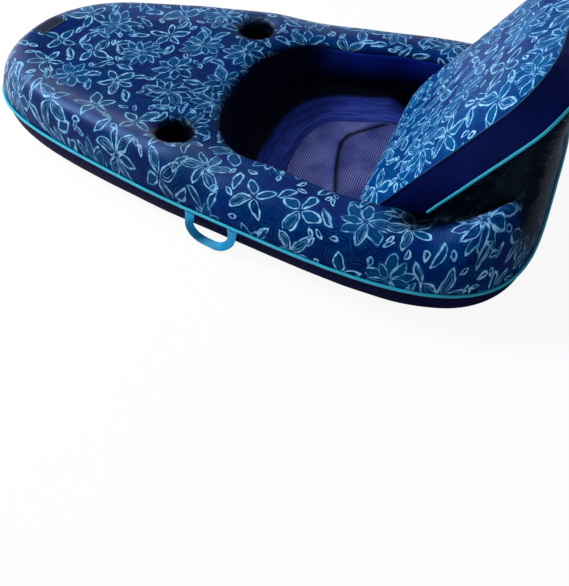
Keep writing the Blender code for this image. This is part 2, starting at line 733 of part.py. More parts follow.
def sling_sheet(name, shares, finish, middle):
    """Sheet of the sling: a band between the first and last share, or a disc that closes in the middle.

    The disc is cut back a little, to lie inside the band that it is sewn to.
    """
    trim = 3 / 2 * GAP if middle else 0.0
    shape = bmesh.new()
    edges = []
    for thickness in (SLING_THICKNESS, 0.0):
        rows = [[shape.verts.new(p) for p in sling_ring(share, thickness, trim)] for share in shares]
        for one, other in zip(rows, rows[1:]):
            for i in range(STATIONS):
                j = (i + 1) % STATIONS
                shape.faces.new((one[i], one[j], other[j], other[i]))
        if middle:
            fan_cap(shape, rows[-1], Vector((EYE_X, 0, thickness)))
        edges.append((rows[0], rows[-1]))
    for upper, lower in zip(edges[0][:1 if middle else 2], edges[1]):
        for i in range(STATIONS):
            j = (i + 1) % STATIONS
            shape.faces.new((upper[i], upper[j], lower[j], lower[i]))
    bmesh.ops.recalc_face_normals(shape, faces=shape.faces)
    mesh = bpy.data.meshes.new(name)
    shape.to_mesh(mesh)
    shape.free()
    return add_mesh(name, mesh, finish)


def cup_liner(name, place):
    """Tapered cup, open at the top."""
    base = place - Vector((0, 0, CUP_DEPTH))
    slope = (CUP_RADIUS - CUP_BASE_RADIUS) / CUP_DEPTH
    mesh = bpy.data.meshes.new(name)
    shape = bmesh.new()
    profile = ((0, -CUP_WALL), (CUP_BASE_RADIUS + CUP_WALL, -CUP_WALL),
               (CUP_BASE_RADIUS + CUP_WALL + slope * CUP_DEPTH, CUP_DEPTH), (CUP_RADIUS, CUP_DEPTH),
               (CUP_BASE_RADIUS, 0), (0, 0))
    loops = []
    for radius, height in profile[1:-1]:
        turns = [2 * math.pi * k / ROUND_SIDES for k in range(ROUND_SIDES)]
        loops.append([shape.verts.new(base + Vector((radius * math.cos(t), radius * math.sin(t), height)))
                      for t in turns])
    for one, other in zip(loops, loops[1:]):
        for i in range(ROUND_SIDES):
            j = (i + 1) % ROUND_SIDES
            shape.faces.new((one[i], one[j], other[j], other[i]))
    shape.faces.new(loops[0])
    shape.faces.new(loops[-1])
    bmesh.ops.recalc_face_normals(shape, faces=shape.faces)
    shape.to_mesh(mesh)
    shape.free()
    return add_mesh(name, mesh, LINER)


def handle(name, side):
    """Webbing loop that hangs from the seam, close under the piping.

    Its origin is the middle of the line it swings about, and its ends are eight-sided about that line.
    """
    x = DECK_EDGE_X + HANDLE_SETBACK
    lean = (half_width(x + HANDLE_SPAN / 2) - half_width(x - HANDLE_SPAN / 2)) / HANDLE_SPAN
    along = Vector((1, side * lean, 0)).normalized()
    out = Vector((-along.y, along.x, 0)) * side
    sag = max(half_width(x) - (half_width(x + s * HANDLE_SPAN / 2) + half_width(x - s * HANDLE_SPAN / 2)) / 2
              for s in (1 / 2, 1))
    seam = Vector((x, side * half_width(x), SEAM_HEIGHT))
    axis = seam + out * (max(sag, 0) / 2 + PIPING_RADIUS + GAP)
    axis.z = SEAM_HEIGHT - PIPING_RADIUS - WEBBING_THICKNESS / 2 - 2 * GAP
    half = (HANDLE_SPAN - WEBBING_WIDTH) / 2
    facet = WEBBING_THICKNESS / 2 * math.tan(math.pi / 8)
    rings = []
    for step in range(HANDLE_STEPS + 1):
        turn = math.pi * step / HANDLE_STEPS
        bend = 2 / HANDLE_ROUNDNESS
        reach = math.copysign(abs(math.cos(turn)) ** bend, math.cos(turn))
        drop = abs(math.sin(turn)) ** bend
        centre = along * half * reach - Vector((0, 0, HANDLE_DROP * drop))
        normal = along * half * reach / half ** 2 - Vector((0, 0, drop / HANDLE_DROP))
        normal = normal.normalized() if 0 < step < HANDLE_STEPS else along * reach
        ring = []
        for w, t in ((-1, -1), (1, -1), (1, 1), (-1, 1)):
            ring.append(centre + normal * w * WEBBING_WIDTH / 2 + out * t * WEBBING_THICKNESS / 2)
        rings.append(ring)
    for height, thickness in ((facet, WEBBING_THICKNESS), (WEBBING_THICKNESS / 2, 2 * facet)):
        for end, place in ((rings[0], 0), (rings[-1], len(rings) + 1)):
            thinner = thickness / (end[2] - end[1]).length - 1
            middle = sum(end, Vector()) / len(end)
            lifted = [p + out * (p - middle).dot(out) * thinner for p in end]
            rings.insert(place, [Vector((p.x, p.y, height)) for p in lifted])
    body = add_mesh(name, loft(rings, closed=False, cap=True), CYAN)
    body.location = axis
    return body, axis, along


def face_frame(middle, normal, up):
    """Frame on a surface, with Z out of it and Y as near to a given direction as can be."""
    across = up.cross(normal).normalized()
    frame = Matrix((across, normal.cross(across), normal)).transposed().to_4x4()
    frame.translation = middle
    return frame


def valve(name, frame, skin, cover):
    """Valve on a bladder's outer face: its base, its one-way insert and its hinged cap.

    The frame stands on the cover's outside with Z outward. Skin and cover are cut for the neck and flange.
    """
    seat = -FABRIC
    neck_hole = cylinder(NECK_RADIUS + GAP, 4 * VINYL,
                         frame @ Matrix.Translation((0, 0, -FABRIC - GAP - 3 * VINYL)))
    boolean(skin, neck_hole)
    cover_hole = cylinder(FLANGE_RADIUS + VALVE_HOLE_MARGIN, 4 * FABRIC,
                          frame @ Matrix.Translation((0, 0, -2 * FABRIC)))
    boolean(cover, cover_hole)

    base = add_mesh(name + "_base", cylinder_mesh(FLANGE_RADIUS, FLANGE_THICKNESS, frame, seat), PLASTIC)
    neck = cylinder(NECK_RADIUS, NECK_LENGTH + FLANGE_THICKNESS / 2,
                    frame @ Matrix.Translation((0, 0, seat - NECK_LENGTH)))
    boolean(base, neck, "UNION")
    boolean(base, cylinder(BORE_RADIUS, 2 * NECK_LENGTH,
                           frame @ Matrix.Translation((0, 0, seat - NECK_LENGTH * 5 / 4))))

    insert = add_mesh(name + "_insert", cylinder_mesh(BORE_RADIUS - GAP, INSERT_THICKNESS, frame,
                                                      seat - INSERT_DEPTH - INSERT_THICKNESS), PLASTIC)
    for quarter in range(4):
        turn = math.pi / 2 * quarter
        at = Vector((INSERT_HOLE_CIRCLE * math.cos(turn), INSERT_HOLE_CIRCLE * math.sin(turn),
                     seat - INSERT_DEPTH - 2 * INSERT_THICKNESS))
        boolean(insert, cylinder(INSERT_HOLE_RADIUS, 3 * INSERT_THICKNESS,
                                 frame @ Matrix.Translation(at), sides=ROUND_SIDES // 3))

    top = seat + FLANGE_THICKNESS + GAP
    hinge = frame @ Vector((0, -HINGE_REACH, top + HINGE_RADIUS))
    cap = add_mesh(name + "_cap", cylinder_mesh(CAP_RADIUS, CAP_THICKNESS, frame, top), PLASTIC)
    boolean(cap, cylinder(PLUG_RADIUS, PLUG_LENGTH + CAP_THICKNESS / 2,
                          frame @ Matrix.Translation((0, 0, top - PLUG_LENGTH))), "UNION")
    strap = box((-HINGE_WIDTH / 2, -HINGE_REACH, top),
                (HINGE_WIDTH / 2, -CAP_RADIUS / 2, top + HINGE_RADIUS))
    strap.data.transform(frame)
    boolean(cap, strap, "UNION")
    barrel = Matrix.Translation((-HINGE_WIDTH / 2, -HINGE_REACH, top + HINGE_RADIUS)) @ Matrix.Rotation(
        math.pi / 2, 4, "Y")
    boolean(cap, cylinder(HINGE_RADIUS, HINGE_WIDTH, frame @ barrel, sides=ROUND_SIDES // 3), "UNION")
    cap.data.transform(Matrix.Translation(-hinge))
    cap.location = hinge
    return hinge, (frame.to_3x3() @ Vector((1, 0, 0))).normalized()


def cylinder_mesh(radius, length, frame, level):
    body = cylinder(radius, length, frame @ Matrix.Translation((0, 0, level)))
    mesh = body.data
    bpy.data.objects.remove(body, do_unlink=True)
    return mesh


def web(name, solid, low, high, place):
    """Inner web that fills a thin box's share of a hollow."""
    body = add_mesh(name, solid, SKIN, math.radians(20))
    return boolean(body, box(low, high, place), "INTERSECT")


top_cover = ring_strip("top_cover", 0, OVER, PRINT)
near_deck, near_rear = STATIONS - DECK_STATION, STATIONS - REAR_STATION
ring_strip("well_wall", OVER, WALL_END, WALL_FABRIC, list(range(near_rear, STATIONS + REAR_STATION + 1)))
bottom_cover = ring_strip("bottom_cover", WALL_END, AROUND, NAVY)
boolean(bottom_cover, riser_cutter(0.0, RISER_CLEARANCE))
riser_panel("riser_panel", NAVY)
for hole in cup_cutter(0.0, CUP_DEPTH):
    boolean(top_cover, hole)

deck_bladder = bladder("deck_bladder", near_deck, STATIONS + DECK_STATION, (near_deck, DECK_STATION))
far_bladder = bladder("far_side_bladder", DECK_STATION, REAR_STATION, (DECK_STATION, REAR_STATION))
near_bladder = bladder("near_side_bladder", near_rear, near_deck, (near_rear, near_deck))
rear_bladder = bladder("rear_bladder", REAR_STATION, near_rear, (REAR_STATION, near_rear))

crowned_sheet("backrest_panel", PRINT)
backrest_gusset = gusset("backrest_gusset", NAVY)
PILLOW_MARGIN = FABRIC + GAP
PILLOW_FRONT = BACKREST_DEPTH - FABRIC - GAP
backrest_bladder = add_mesh("backrest_bladder", pillow(PILLOW_MARGIN, 0.0, PILLOW_FRONT), SKIN)
boolean(backrest_bladder, temporary(pillow(PILLOW_MARGIN + VINYL, VINYL, PILLOW_FRONT - VINYL)))

sling_sheet("seat_border", BORDER_SHARES, BORDER, middle=False)
sling_sheet("seat_mesh", MESH_SHARES, NET, middle=True)
seam_piping()
backrest_piping()
for side_name, place in zip(("far", "near"), CUP_PLACES):
    cup_liner(side_name + "_cup_liner", place)
for side_name, side in (("far", 1), ("near", -1)):
    body, axis, along = handle(side_name + "_handle", side)
    print(side_name, "handle axis", tuple(axis), tuple(along))

rear_points = in_space(0.0, SECTIONS[HALF_STATIONS])
lower, upper = Vector(rear_points[SHOULDER_STEPS // 2]), Vector(rear_points[SHOULDER_STEPS // 2 + 1])
rear_normal = Vector((upper.z - lower.z, 0, lower.x - upper.x)).normalized()
rear_frame = face_frame((lower + upper) / 2, rear_normal, Vector((0, 0, 1)))
print("ring valve hinge", *valve("ring_valve", rear_frame, rear_bladder, top_cover))
gusset_middle = SLAB @ Vector((-BACKREST_WIDTH / 2, BACKREST_VALVE_HEIGHT, BACKREST_DEPTH / 2))
gusset_out = -(SLAB.to_3x3() @ Vector((1, 0, 0)))
gusset_frame = face_frame(gusset_middle, gusset_out, SLOPE)
print("backrest valve hinge", *valve("backrest_valve", gusset_frame, backrest_bladder, backrest_gusset))

for number, offset in enumerate((-1, 0, 1), 1):
    start_x = -HALF_LENGTH + DECK_WEB_START
    y = offset * DECK_WEB_SPACING
    inside = ring_body(CAVITY_DEPTH + GAP, near_deck, STATIONS + DECK_STATION, GAP / 2 + VINYL)
    web(f"deck_web_{number}", inside,
        (start_x, y - WEB / 2, 0), (start_x + DECK_WEB_LENGTH, y + WEB / 2, DECK_RIM_HEIGHT), Matrix())
for number, offset in enumerate((-1, 0, 1), 1):
    x = offset * BACKREST_WEB_SPACING
    inside = PILLOW_MARGIN + VINYL + GAP
    web(f"backrest_web_{number}", pillow(inside, VINYL + GAP, PILLOW_FRONT - VINYL - GAP),
        (x - WEB / 2, BACKREST_WEB_START, 0),
        (x + WEB / 2, BACKREST_WEB_START + BACKREST_WEB_LENGTH, 2 * BACKREST_DEPTH), SLAB)
for number, offset in enumerate((-1 / 2, 1 / 2), 1):
    y = offset * RISER_WEB_SPACING
    start_x = RISER_FACE_X + RISER_WEB_START
    inside = temporary(ring_body(CAVITY_DEPTH + GAP, REAR_STATION, near_rear, GAP / 2 + VINYL))
    boolean(inside, riser_cutter(CAVITY_DEPTH + GAP, RISER_CLEARANCE + VINYL + GAP))
    mesh = inside.data
    bpy.data.objects.remove(inside, do_unlink=True)
    web(f"riser_web_{number}", mesh,
        (start_x, y - WEB / 2, 0), (start_x + RISER_WEB_LENGTH, y + WEB / 2, BACKREST_LENGTH), Matrix())

bpy.context.view_layer.update()
corners = [body.matrix_world @ Vector(c) for body in bpy.data.objects for c in body.bound_box]
middle_x = (min(c.x for c in corners) + max(c.x for c in corners)) / 2
for body in bpy.data.objects:
    body.location.x -= middle_x
print("moved by", -middle_x, "height", max(c.z for c in corners))
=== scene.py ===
# %% [markdown]
# # Inflatable pool chair
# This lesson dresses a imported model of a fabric-covered pool chair. The model's solids fix every size and
# place. Here each soft piece is modelled again with its swell, seams and folds, and each surface gets its
# material.

# %% Load the frame
import math
from contextlib import contextmanager

import bmesh
import bpy
import numpy as np
from mathutils import Matrix, Vector, noise


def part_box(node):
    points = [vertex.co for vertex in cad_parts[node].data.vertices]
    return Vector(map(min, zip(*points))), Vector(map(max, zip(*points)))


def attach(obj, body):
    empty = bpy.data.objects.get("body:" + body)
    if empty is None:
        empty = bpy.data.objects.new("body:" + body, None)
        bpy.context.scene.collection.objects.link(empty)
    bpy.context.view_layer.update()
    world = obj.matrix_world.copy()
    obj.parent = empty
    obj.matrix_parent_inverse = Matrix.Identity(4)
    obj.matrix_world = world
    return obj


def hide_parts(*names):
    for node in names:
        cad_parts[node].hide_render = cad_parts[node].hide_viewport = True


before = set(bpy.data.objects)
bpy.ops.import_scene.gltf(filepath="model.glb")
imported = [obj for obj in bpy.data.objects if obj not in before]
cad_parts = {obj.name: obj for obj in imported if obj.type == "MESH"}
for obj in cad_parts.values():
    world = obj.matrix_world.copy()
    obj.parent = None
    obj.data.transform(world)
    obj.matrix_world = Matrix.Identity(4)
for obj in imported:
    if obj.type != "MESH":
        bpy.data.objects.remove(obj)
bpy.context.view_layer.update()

# %% [markdown]
# ## Sizes
# These are the sizes that the solids were drawn with, in metres. The ring was drawn about its own middle, and
# the solids' origin is the middle of their footprint, so one shift separates the two. A cup shows it.

# %% Sizes
MM = 0.001
DECK_LENGTH, SEAT_LENGTH, TILT = 0.80, 0.48, math.radians(53)
BACKREST_LENGTH, BACKREST_WIDTH, BACKREST_DEPTH, BACKREST_CROWN = 0.77, 0.70, 0.100, 0.022
TOP_CORNER, BASE_CORNER, SIDE_CLEARANCE = 0.155, 0.035, 0.006
SLOPE = Vector((math.cos(TILT), 0, math.sin(TILT)))
FACING = Vector((-math.sin(TILT), 0, math.cos(TILT)))
RING_LENGTH = DECK_LENGTH + SEAT_LENGTH + BACKREST_DEPTH * SLOPE.z + BACKREST_LENGTH * SLOPE.x - 0.0333
HALF_LENGTH, HALF_WIDTH = RING_LENGTH / 2, 1.09 / 2
SEAM_HEIGHT, SIDE_HEIGHT, RIM_HEIGHT, DECK_HEIGHT = 0.102, 0.208, 0.226, 0.213
SHOULDER_REACH, BILGE_REACH, SHOULDER_SHARE = 0.095, 0.078, 0.56
HORN_START, HORN_LENGTH, HORN_RISE, VALLEY_DEPTH, VALLEY_SHARE = 0.16, 0.25, 0.14, 0.060, 0.62
LENGTH_SHARES, WIDTH_SHARES = (-1.0, -0.5, 0.0, 0.5, 1.0), (0.917, 0.782, 0.878, 1.006, 1.083)
FOOT_ROUNDNESS, HEAD_ROUNDNESS = 2.14, 4.4
WELL_FRONT_X, WELL_FRONT_WIDTH, WELL_REAR_WIDTH = -HALF_LENGTH + DECK_LENGTH, 0.627, 0.712
WELL_ROUNDING, WELL_ROUNDNESS, WELL_TAPER = 0.21, 2.25, 0.27
EDGE_HEIGHT, EDGE_ROUNDING, WALL_SLOPE, WALL_BULGE = 0.190, 0.075, 0.090, 0.014
SLING, SLING_RISE = 0.0022, 0.062
PANEL_BASE_X = WELL_FRONT_X + SEAT_LENGTH
EYE_X = WELL_FRONT_X + SEAT_LENGTH * 0.833
BACK_BASE = Vector((PANEL_BASE_X + BACKREST_DEPTH * SLOPE.z, 0, SLING + 0.3 * MM))
RISER_FACE_X = BACK_BASE.x - BACK_BASE.z / math.tan(TILT)
CUP_X, CUP_Y, CUP_RADIUS = WELL_FRONT_X - 0.060, 0.300, 0.050
PIPING_RADIUS = 4.2 * MM
SHIFT = (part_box("near_cup_liner")[0][0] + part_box("near_cup_liner")[1][0]) / 2 - CUP_X
print("ring length:", RING_LENGTH, "shift:", SHIFT)

# %% [markdown]
# ## Camera
# The chair is seen from the near side at its foot, from above. The picture's upper half holds the whole chair,
# so the lens is shifted. A shift keeps the perspective of the place where the camera stands.

# %% Camera
AZIMUTH, ELEVATION = math.radians(22.088), math.radians(38.405)
IMAGE_WIDTH, IMAGE_HEIGHT = 569, 586
FOCAL_PIXELS = 956.95
VANISH_PIXEL = (286.60, 141.00)
camera = bpy.data.objects.new("camera", bpy.data.cameras.new("camera"))
bpy.context.collection.objects.link(camera)
back = Vector((math.sin(AZIMUTH) * math.cos(ELEVATION), -math.cos(AZIMUTH) * math.cos(ELEVATION),
               math.sin(ELEVATION)))
right = Vector((math.cos(AZIMUTH), math.sin(AZIMUTH), 0))
place = Matrix((right, back.cross(right), back)).transposed().to_4x4()
place.translation = Vector((0.9628 + SHIFT, -2.1927, 1.8999))
camera.matrix_world = place
camera.data.lens = FOCAL_PIXELS * camera.data.sensor_width / IMAGE_HEIGHT
camera.data.shift_x = (IMAGE_WIDTH / 2 - VANISH_PIXEL[0]) / IMAGE_HEIGHT
camera.data.shift_y = (VANISH_PIXEL[1] - IMAGE_HEIGHT / 2) / IMAGE_HEIGHT
bpy.context.scene.camera = camera
print("lens:", camera.data.lens, "shift:", camera.data.shift_x, camera.data.shift_y)

# %% [markdown]
# ## Helpers for materials
# A material is a small network of nodes. One function adds a node, sets it up and links it, so that a network
# reads from top to bottom like a sum.

# %% Node and colour helpers
def plug(node, inputs):
    """Sets a node's inputs, by name or number, to values or to other nodes. None leaves one as it is."""
    for name, value in inputs.items():
        if isinstance(value, bpy.types.Node):
            value = next(s for s in value.outputs if s.enabled)
        if isinstance(value, bpy.types.NodeSocket):
            add.tree.links.new(value, node.inputs[name])
        elif value is not None:
            node.inputs[name].default_value = value


def add(kind, *inputs, **settings):
    """Adds a node to the tree in hand, add.tree. A kind in capitals is an operation of the Math node.

    Its inputs come in order, or in one dictionary by name."""
    if kind.isupper():
        kind, settings = "Math", {"operation": kind}
    made = add.tree.nodes.new("ShaderNode" + kind)
    for name, value in settings.items():
        setattr(made, name, value)
    if not (inputs and isinstance(inputs[0], dict)):
        inputs = [dict(zip([i for i, s in enumerate(made.inputs) if s.enabled], inputs))]
    plug(made, inputs[0])
    return made


def colour(code):
    """Linear colour of an sRGB hex code."""
    parts = [int(code[i:i + 2], 16) / 255 for i in (1, 3, 5)]
    return (*[p / 12.92 if p <= 0.04045 else ((p + 0.055) / 1.055) ** 2.4 for p in parts], 1.0)


def new_material(name, roughness=0.5, specular=0.5):
    """New material, whose tree is then the one in hand, and its Principled shader."""
    made = bpy.data.materials.new(name)
    made.use_nodes = True
    add.tree = made.node_tree
    shader = made.node_tree.nodes["Principled BSDF"]
    plug(shader, {"Roughness": roughness, "Specular IOR Level": specular})
    return made, shader


# %% [markdown]
# ## The printed cloth
# The top cover is woven polyester, printed before it is sewn. Its print is line drawings of flowers, leaves
# and buds in light blue on deep blue. Cells scatter the motifs: a Voronoi texture gives each point the middle
# of its nearest cell and a colour that serves as dice. The pattern reads the attribute "cloth", which says
# where each point lay on the flat cloth, in metres. A second attribute, "shade", is painted shade: it is 1 on
# open cloth and falls toward 0 in folds, pockets and hollows, and on some open stretches. A third, "gloss",
# is 1 in a band along the rim, where raised specular paints a highlight.

# %% Motif helpers
CLOTH, SHADE, PAINTED_HIGHLIGHT = "cloth", "shade", "gloss"
FULL_TURN = 2 * math.pi


def cells_of(cloth, spacing, jitter, shift):
    """Points of the cloth moved by a shift, and the scattered cells that they lie in."""
    moved = add("VectorMath", cloth, shift, operation="ADD")
    settings = {"Vector": moved, "Scale": 1 / spacing, "Randomness": jitter}
    return moved, add("TexVoronoi", settings, voronoi_dimensions="2D")


def scatter(cloth, spacing, jitter, shift):
    """Local coordinates of the nearest motif, turned at random, with its dice and its middle."""
    moved, cells = cells_of(cloth, spacing, jitter, shift)
    dice = add("SeparateColor", cells.outputs["Color"])
    local = add("VectorMath", moved, cells.outputs["Position"], operation="SUBTRACT")
    turn = add("MULTIPLY", dice.outputs[0], FULL_TURN)
    turned = add("VectorRotate", {"Vector": local, "Angle": turn}, rotation_type="Z_AXIS")
    middle = add("VectorMath", cells.outputs["Position"], shift, operation="SUBTRACT")
    return turned, dice, middle


def distance_to(middle, spacing, jitter, shift):
    """Distance from a motif's middle to the nearest middle of another layer, in metres."""
    moved, cells = cells_of(middle, spacing, jitter, shift)
    return add("VectorMath", moved, cells.outputs["Position"], operation="DISTANCE").outputs["Value"]


def pointed(x, y, length, slimness):
    """Distance to a pointed petal or leaf that runs along X, below zero inside. Its sides are two arcs."""
    square = add("ADD", add("MULTIPLY", slimness, slimness), 0.25)
    radius = add("DIVIDE", square, add("MULTIPLY", slimness, 2.0))
    u = add("ADD", add("DIVIDE", x, length), -0.5)
    v = add("ABSOLUTE", add("DIVIDE", y, length))
    v = add("ADD", v, add("SUBTRACT", radius, slimness))
    reach = add("VectorMath", add("CombineXYZ", u, v), operation="LENGTH").outputs["Value"]
    return add("MULTIPLY", add("SUBTRACT", reach, radius), length)


def stroke(distance, half_width, softness=0.6 * MM):
    """One on a drawn line, where a distance is near zero, and zero away from it."""
    low, high = add("SUBTRACT", half_width, softness), add("ADD", half_width, softness)
    return add("MapRange", add("ABSOLUTE", distance), low, high, 1.0, 0.0, interpolation_type="SMOOTHSTEP")


def hidden(shown, edge):
    """A motif's distance, moved a metre away where the motif isn't drawn."""
    return add("SUBTRACT", edge, add("ADD", shown, -1.0))


# %% [markdown]
# A flower is drawn by folding the plane: the heading of a point picks its petal, and the point is then measured
# in that petal's own axes. So one petal's outline is enough, and dice make each petal longer or shorter.

# %% Flower and leaf
FLOWER_SPACING, LEAF_SPACING, BUD_SPACING = 148 * MM, 70 * MM, 43 * MM
PETAL_LENGTH, LEAF_LENGTH, BUD_LENGTH = 67 * MM, 60 * MM, 26 * MM


def petal_ring(heading, radius, petals, offset, dice, lengths):
    """Distance to one ring of petals, with the petal's own axes and chance. Offset is a share of a sector."""
    sector = add("DIVIDE", FULL_TURN, petals)
    turns = add("ADD", add("DIVIDE", heading, sector), offset)
    number = add("ROUND", turns)
    aside = add("MULTIPLY", add("SUBTRACT", turns, number), sector)
    wrapped = add("WRAP", number, petals, 0.0)
    seed = add("CombineXYZ", add("ADD", wrapped, offset), dice.outputs[0], dice.outputs[2])
    chance = add("TexWhiteNoise", seed, noise_dimensions="3D").outputs[0]
    length = add("MapRange", chance, 0.0, 1.0, *[share * PETAL_LENGTH for share in lengths])
    x = add("MULTIPLY", radius, add("COSINE", aside))
    y = add("MULTIPLY", radius, add("SINE", aside))
    bend = add("MULTIPLY", add("MULTIPLY", x, x), add("MapRange", dice.outputs[2], 0.0, 1.0, -4.0, 4.0))
    y = add("ADD", y, bend)
    start = add("ADD", x, -0.10 * PETAL_LENGTH)
    slimness = add("MapRange", petals, 4.0, 6.0, 0.25, 0.19)
    return pointed(start, y, length, slimness), x, y, chance


def flower(turned, dice, line):
    """Outlined petals, a second ring behind them on every other flower, and dots. Gives ink, inside, edge."""
    split = add("SeparateXYZ", turned)
    radius = add("VectorMath", turned, operation="LENGTH").outputs["Value"]
    heading = add("ARCTAN2", split.outputs[1], split.outputs[0])
    petals = add("ROUND", add("MapRange", dice.outputs[1], 0.0, 1.0, 3.8, 6.2))
    layered = add("GREATER_THAN", dice.outputs[2], 0.58)
    edge, x, y, chance = petal_ring(heading, radius, petals, 0.0, dice, (0.70, 1.14))
    behind = petal_ring(heading, radius, petals, 0.5, dice, (0.80, 1.14))[0]
    behind = hidden(layered, behind)
    outside = add("MapRange", edge, 0.0, 1.5 * MM)
    behind_ink = add("MULTIPLY", stroke(behind, add("MULTIPLY", line, 0.8)), outside)
    ink = add("MAXIMUM", stroke(edge, line), behind_ink)
    inner = add("ADD", edge, add("MapRange", chance, 0.0, 1.0, 5.0 * MM, 9.0 * MM))
    doubled = add("GREATER_THAN", chance, 0.5)
    faint = add("MULTIPLY", stroke(inner, add("MULTIPLY", line, 0.5)), doubled)
    dot_away = add("VectorMath", add("CombineXYZ", add("ADD", x, -7.5 * MM), y), operation="LENGTH")
    dot = add("MapRange", dot_away, 1.4 * MM, 2.6 * MM, 1.0, 0.0)
    ink = add("MAXIMUM", ink, add("MULTIPLY", faint, 0.45))
    clear = add("MapRange", radius, 9.0 * MM, 11.5 * MM)
    ink = add("MAXIMUM", add("MULTIPLY", ink, clear), dot)
    nearest = add("MINIMUM", edge, behind)
    return ink, add("MapRange", nearest, 0.0, -8.0 * MM), nearest


def leaf(turned, dice, length, slimness, line):
    """Outlined leaf, bent by its dice, often brushed in on one side of its rib. Gives ink, inside, edge."""
    split = add("SeparateXYZ", turned)
    x = add("ADD", split.outputs[0], length / 2)
    square = add("MULTIPLY", split.outputs[0], split.outputs[0])
    bend = add("MULTIPLY", square, add("MapRange", dice.outputs[2], 0.0, 1.0, -9.0, 9.0))
    y = add("ADD", split.outputs[1], bend)
    edge = pointed(x, y, length, slimness)
    inside = add("MapRange", edge, 0.0, -1.2 * MM)
    one_side = add("MULTIPLY", inside, add("MapRange", y, 1.0 * MM, 3.5 * MM))
    half_filled = add("MULTIPLY", one_side, add("GREATER_THAN", dice.outputs[1], 0.45))
    ink = add("MAXIMUM", stroke(edge, line), add("MULTIPLY", half_filled, 0.8))
    return ink, inside, edge


# %% [markdown]
# The layers go on from large to small. A leaf is drawn only where its cell's middle is clear of the flowers,
# and a bud only where its own is clear of both, so motifs don't cross. Round them the ground carries echoes of
# their outlines, tone on tone. Thread spacing on such cloth is about 0.6 mm, too fine to show here, so the weave
# is drawn at 4.4 mm.

# %% Printed polyester
THREAD = 4.4 * MM


def thread_turns(cloth, pitch):
    """Place on a cloth as two angles, one full turn to each pitch, along and across."""
    turns = add("VectorMath", cloth, (FULL_TURN / pitch,) * 3, operation="MULTIPLY")
    return add("SeparateXYZ", turns).outputs[:2]


def weave(cloth, pitch):
    """Height of a plain weave, from 0 to 1."""
    warp, weft = (add("SINE", turns) for turns in thread_turns(cloth, pitch))
    return add("MapRange", add("MULTIPLY", warp, weft), -1.0, 1.0)


def finish_cloth(shader, base, threads, roughness, strength, low=0.86, high=1.10):
    """Gives a cloth's colour its shade and thread shadows, and its threads their gloss and height."""
    shade = add("Attribute", attribute_name=SHADE).outputs["Fac"]
    tone = add("MULTIPLY", add("MapRange", threads, 0.0, 1.0, low, high), shade)
    plug(shader, {"Base Color": add("VectorMath", {0: base, "Scale": tone}, operation="SCALE"),
                  "Roughness": add("MapRange", threads, 0.0, 1.0, roughness + 0.16, roughness - 0.06),
                  "Normal": add("Bump", {"Strength": strength, "Distance": 0.4 * MM, "Height": threads})})


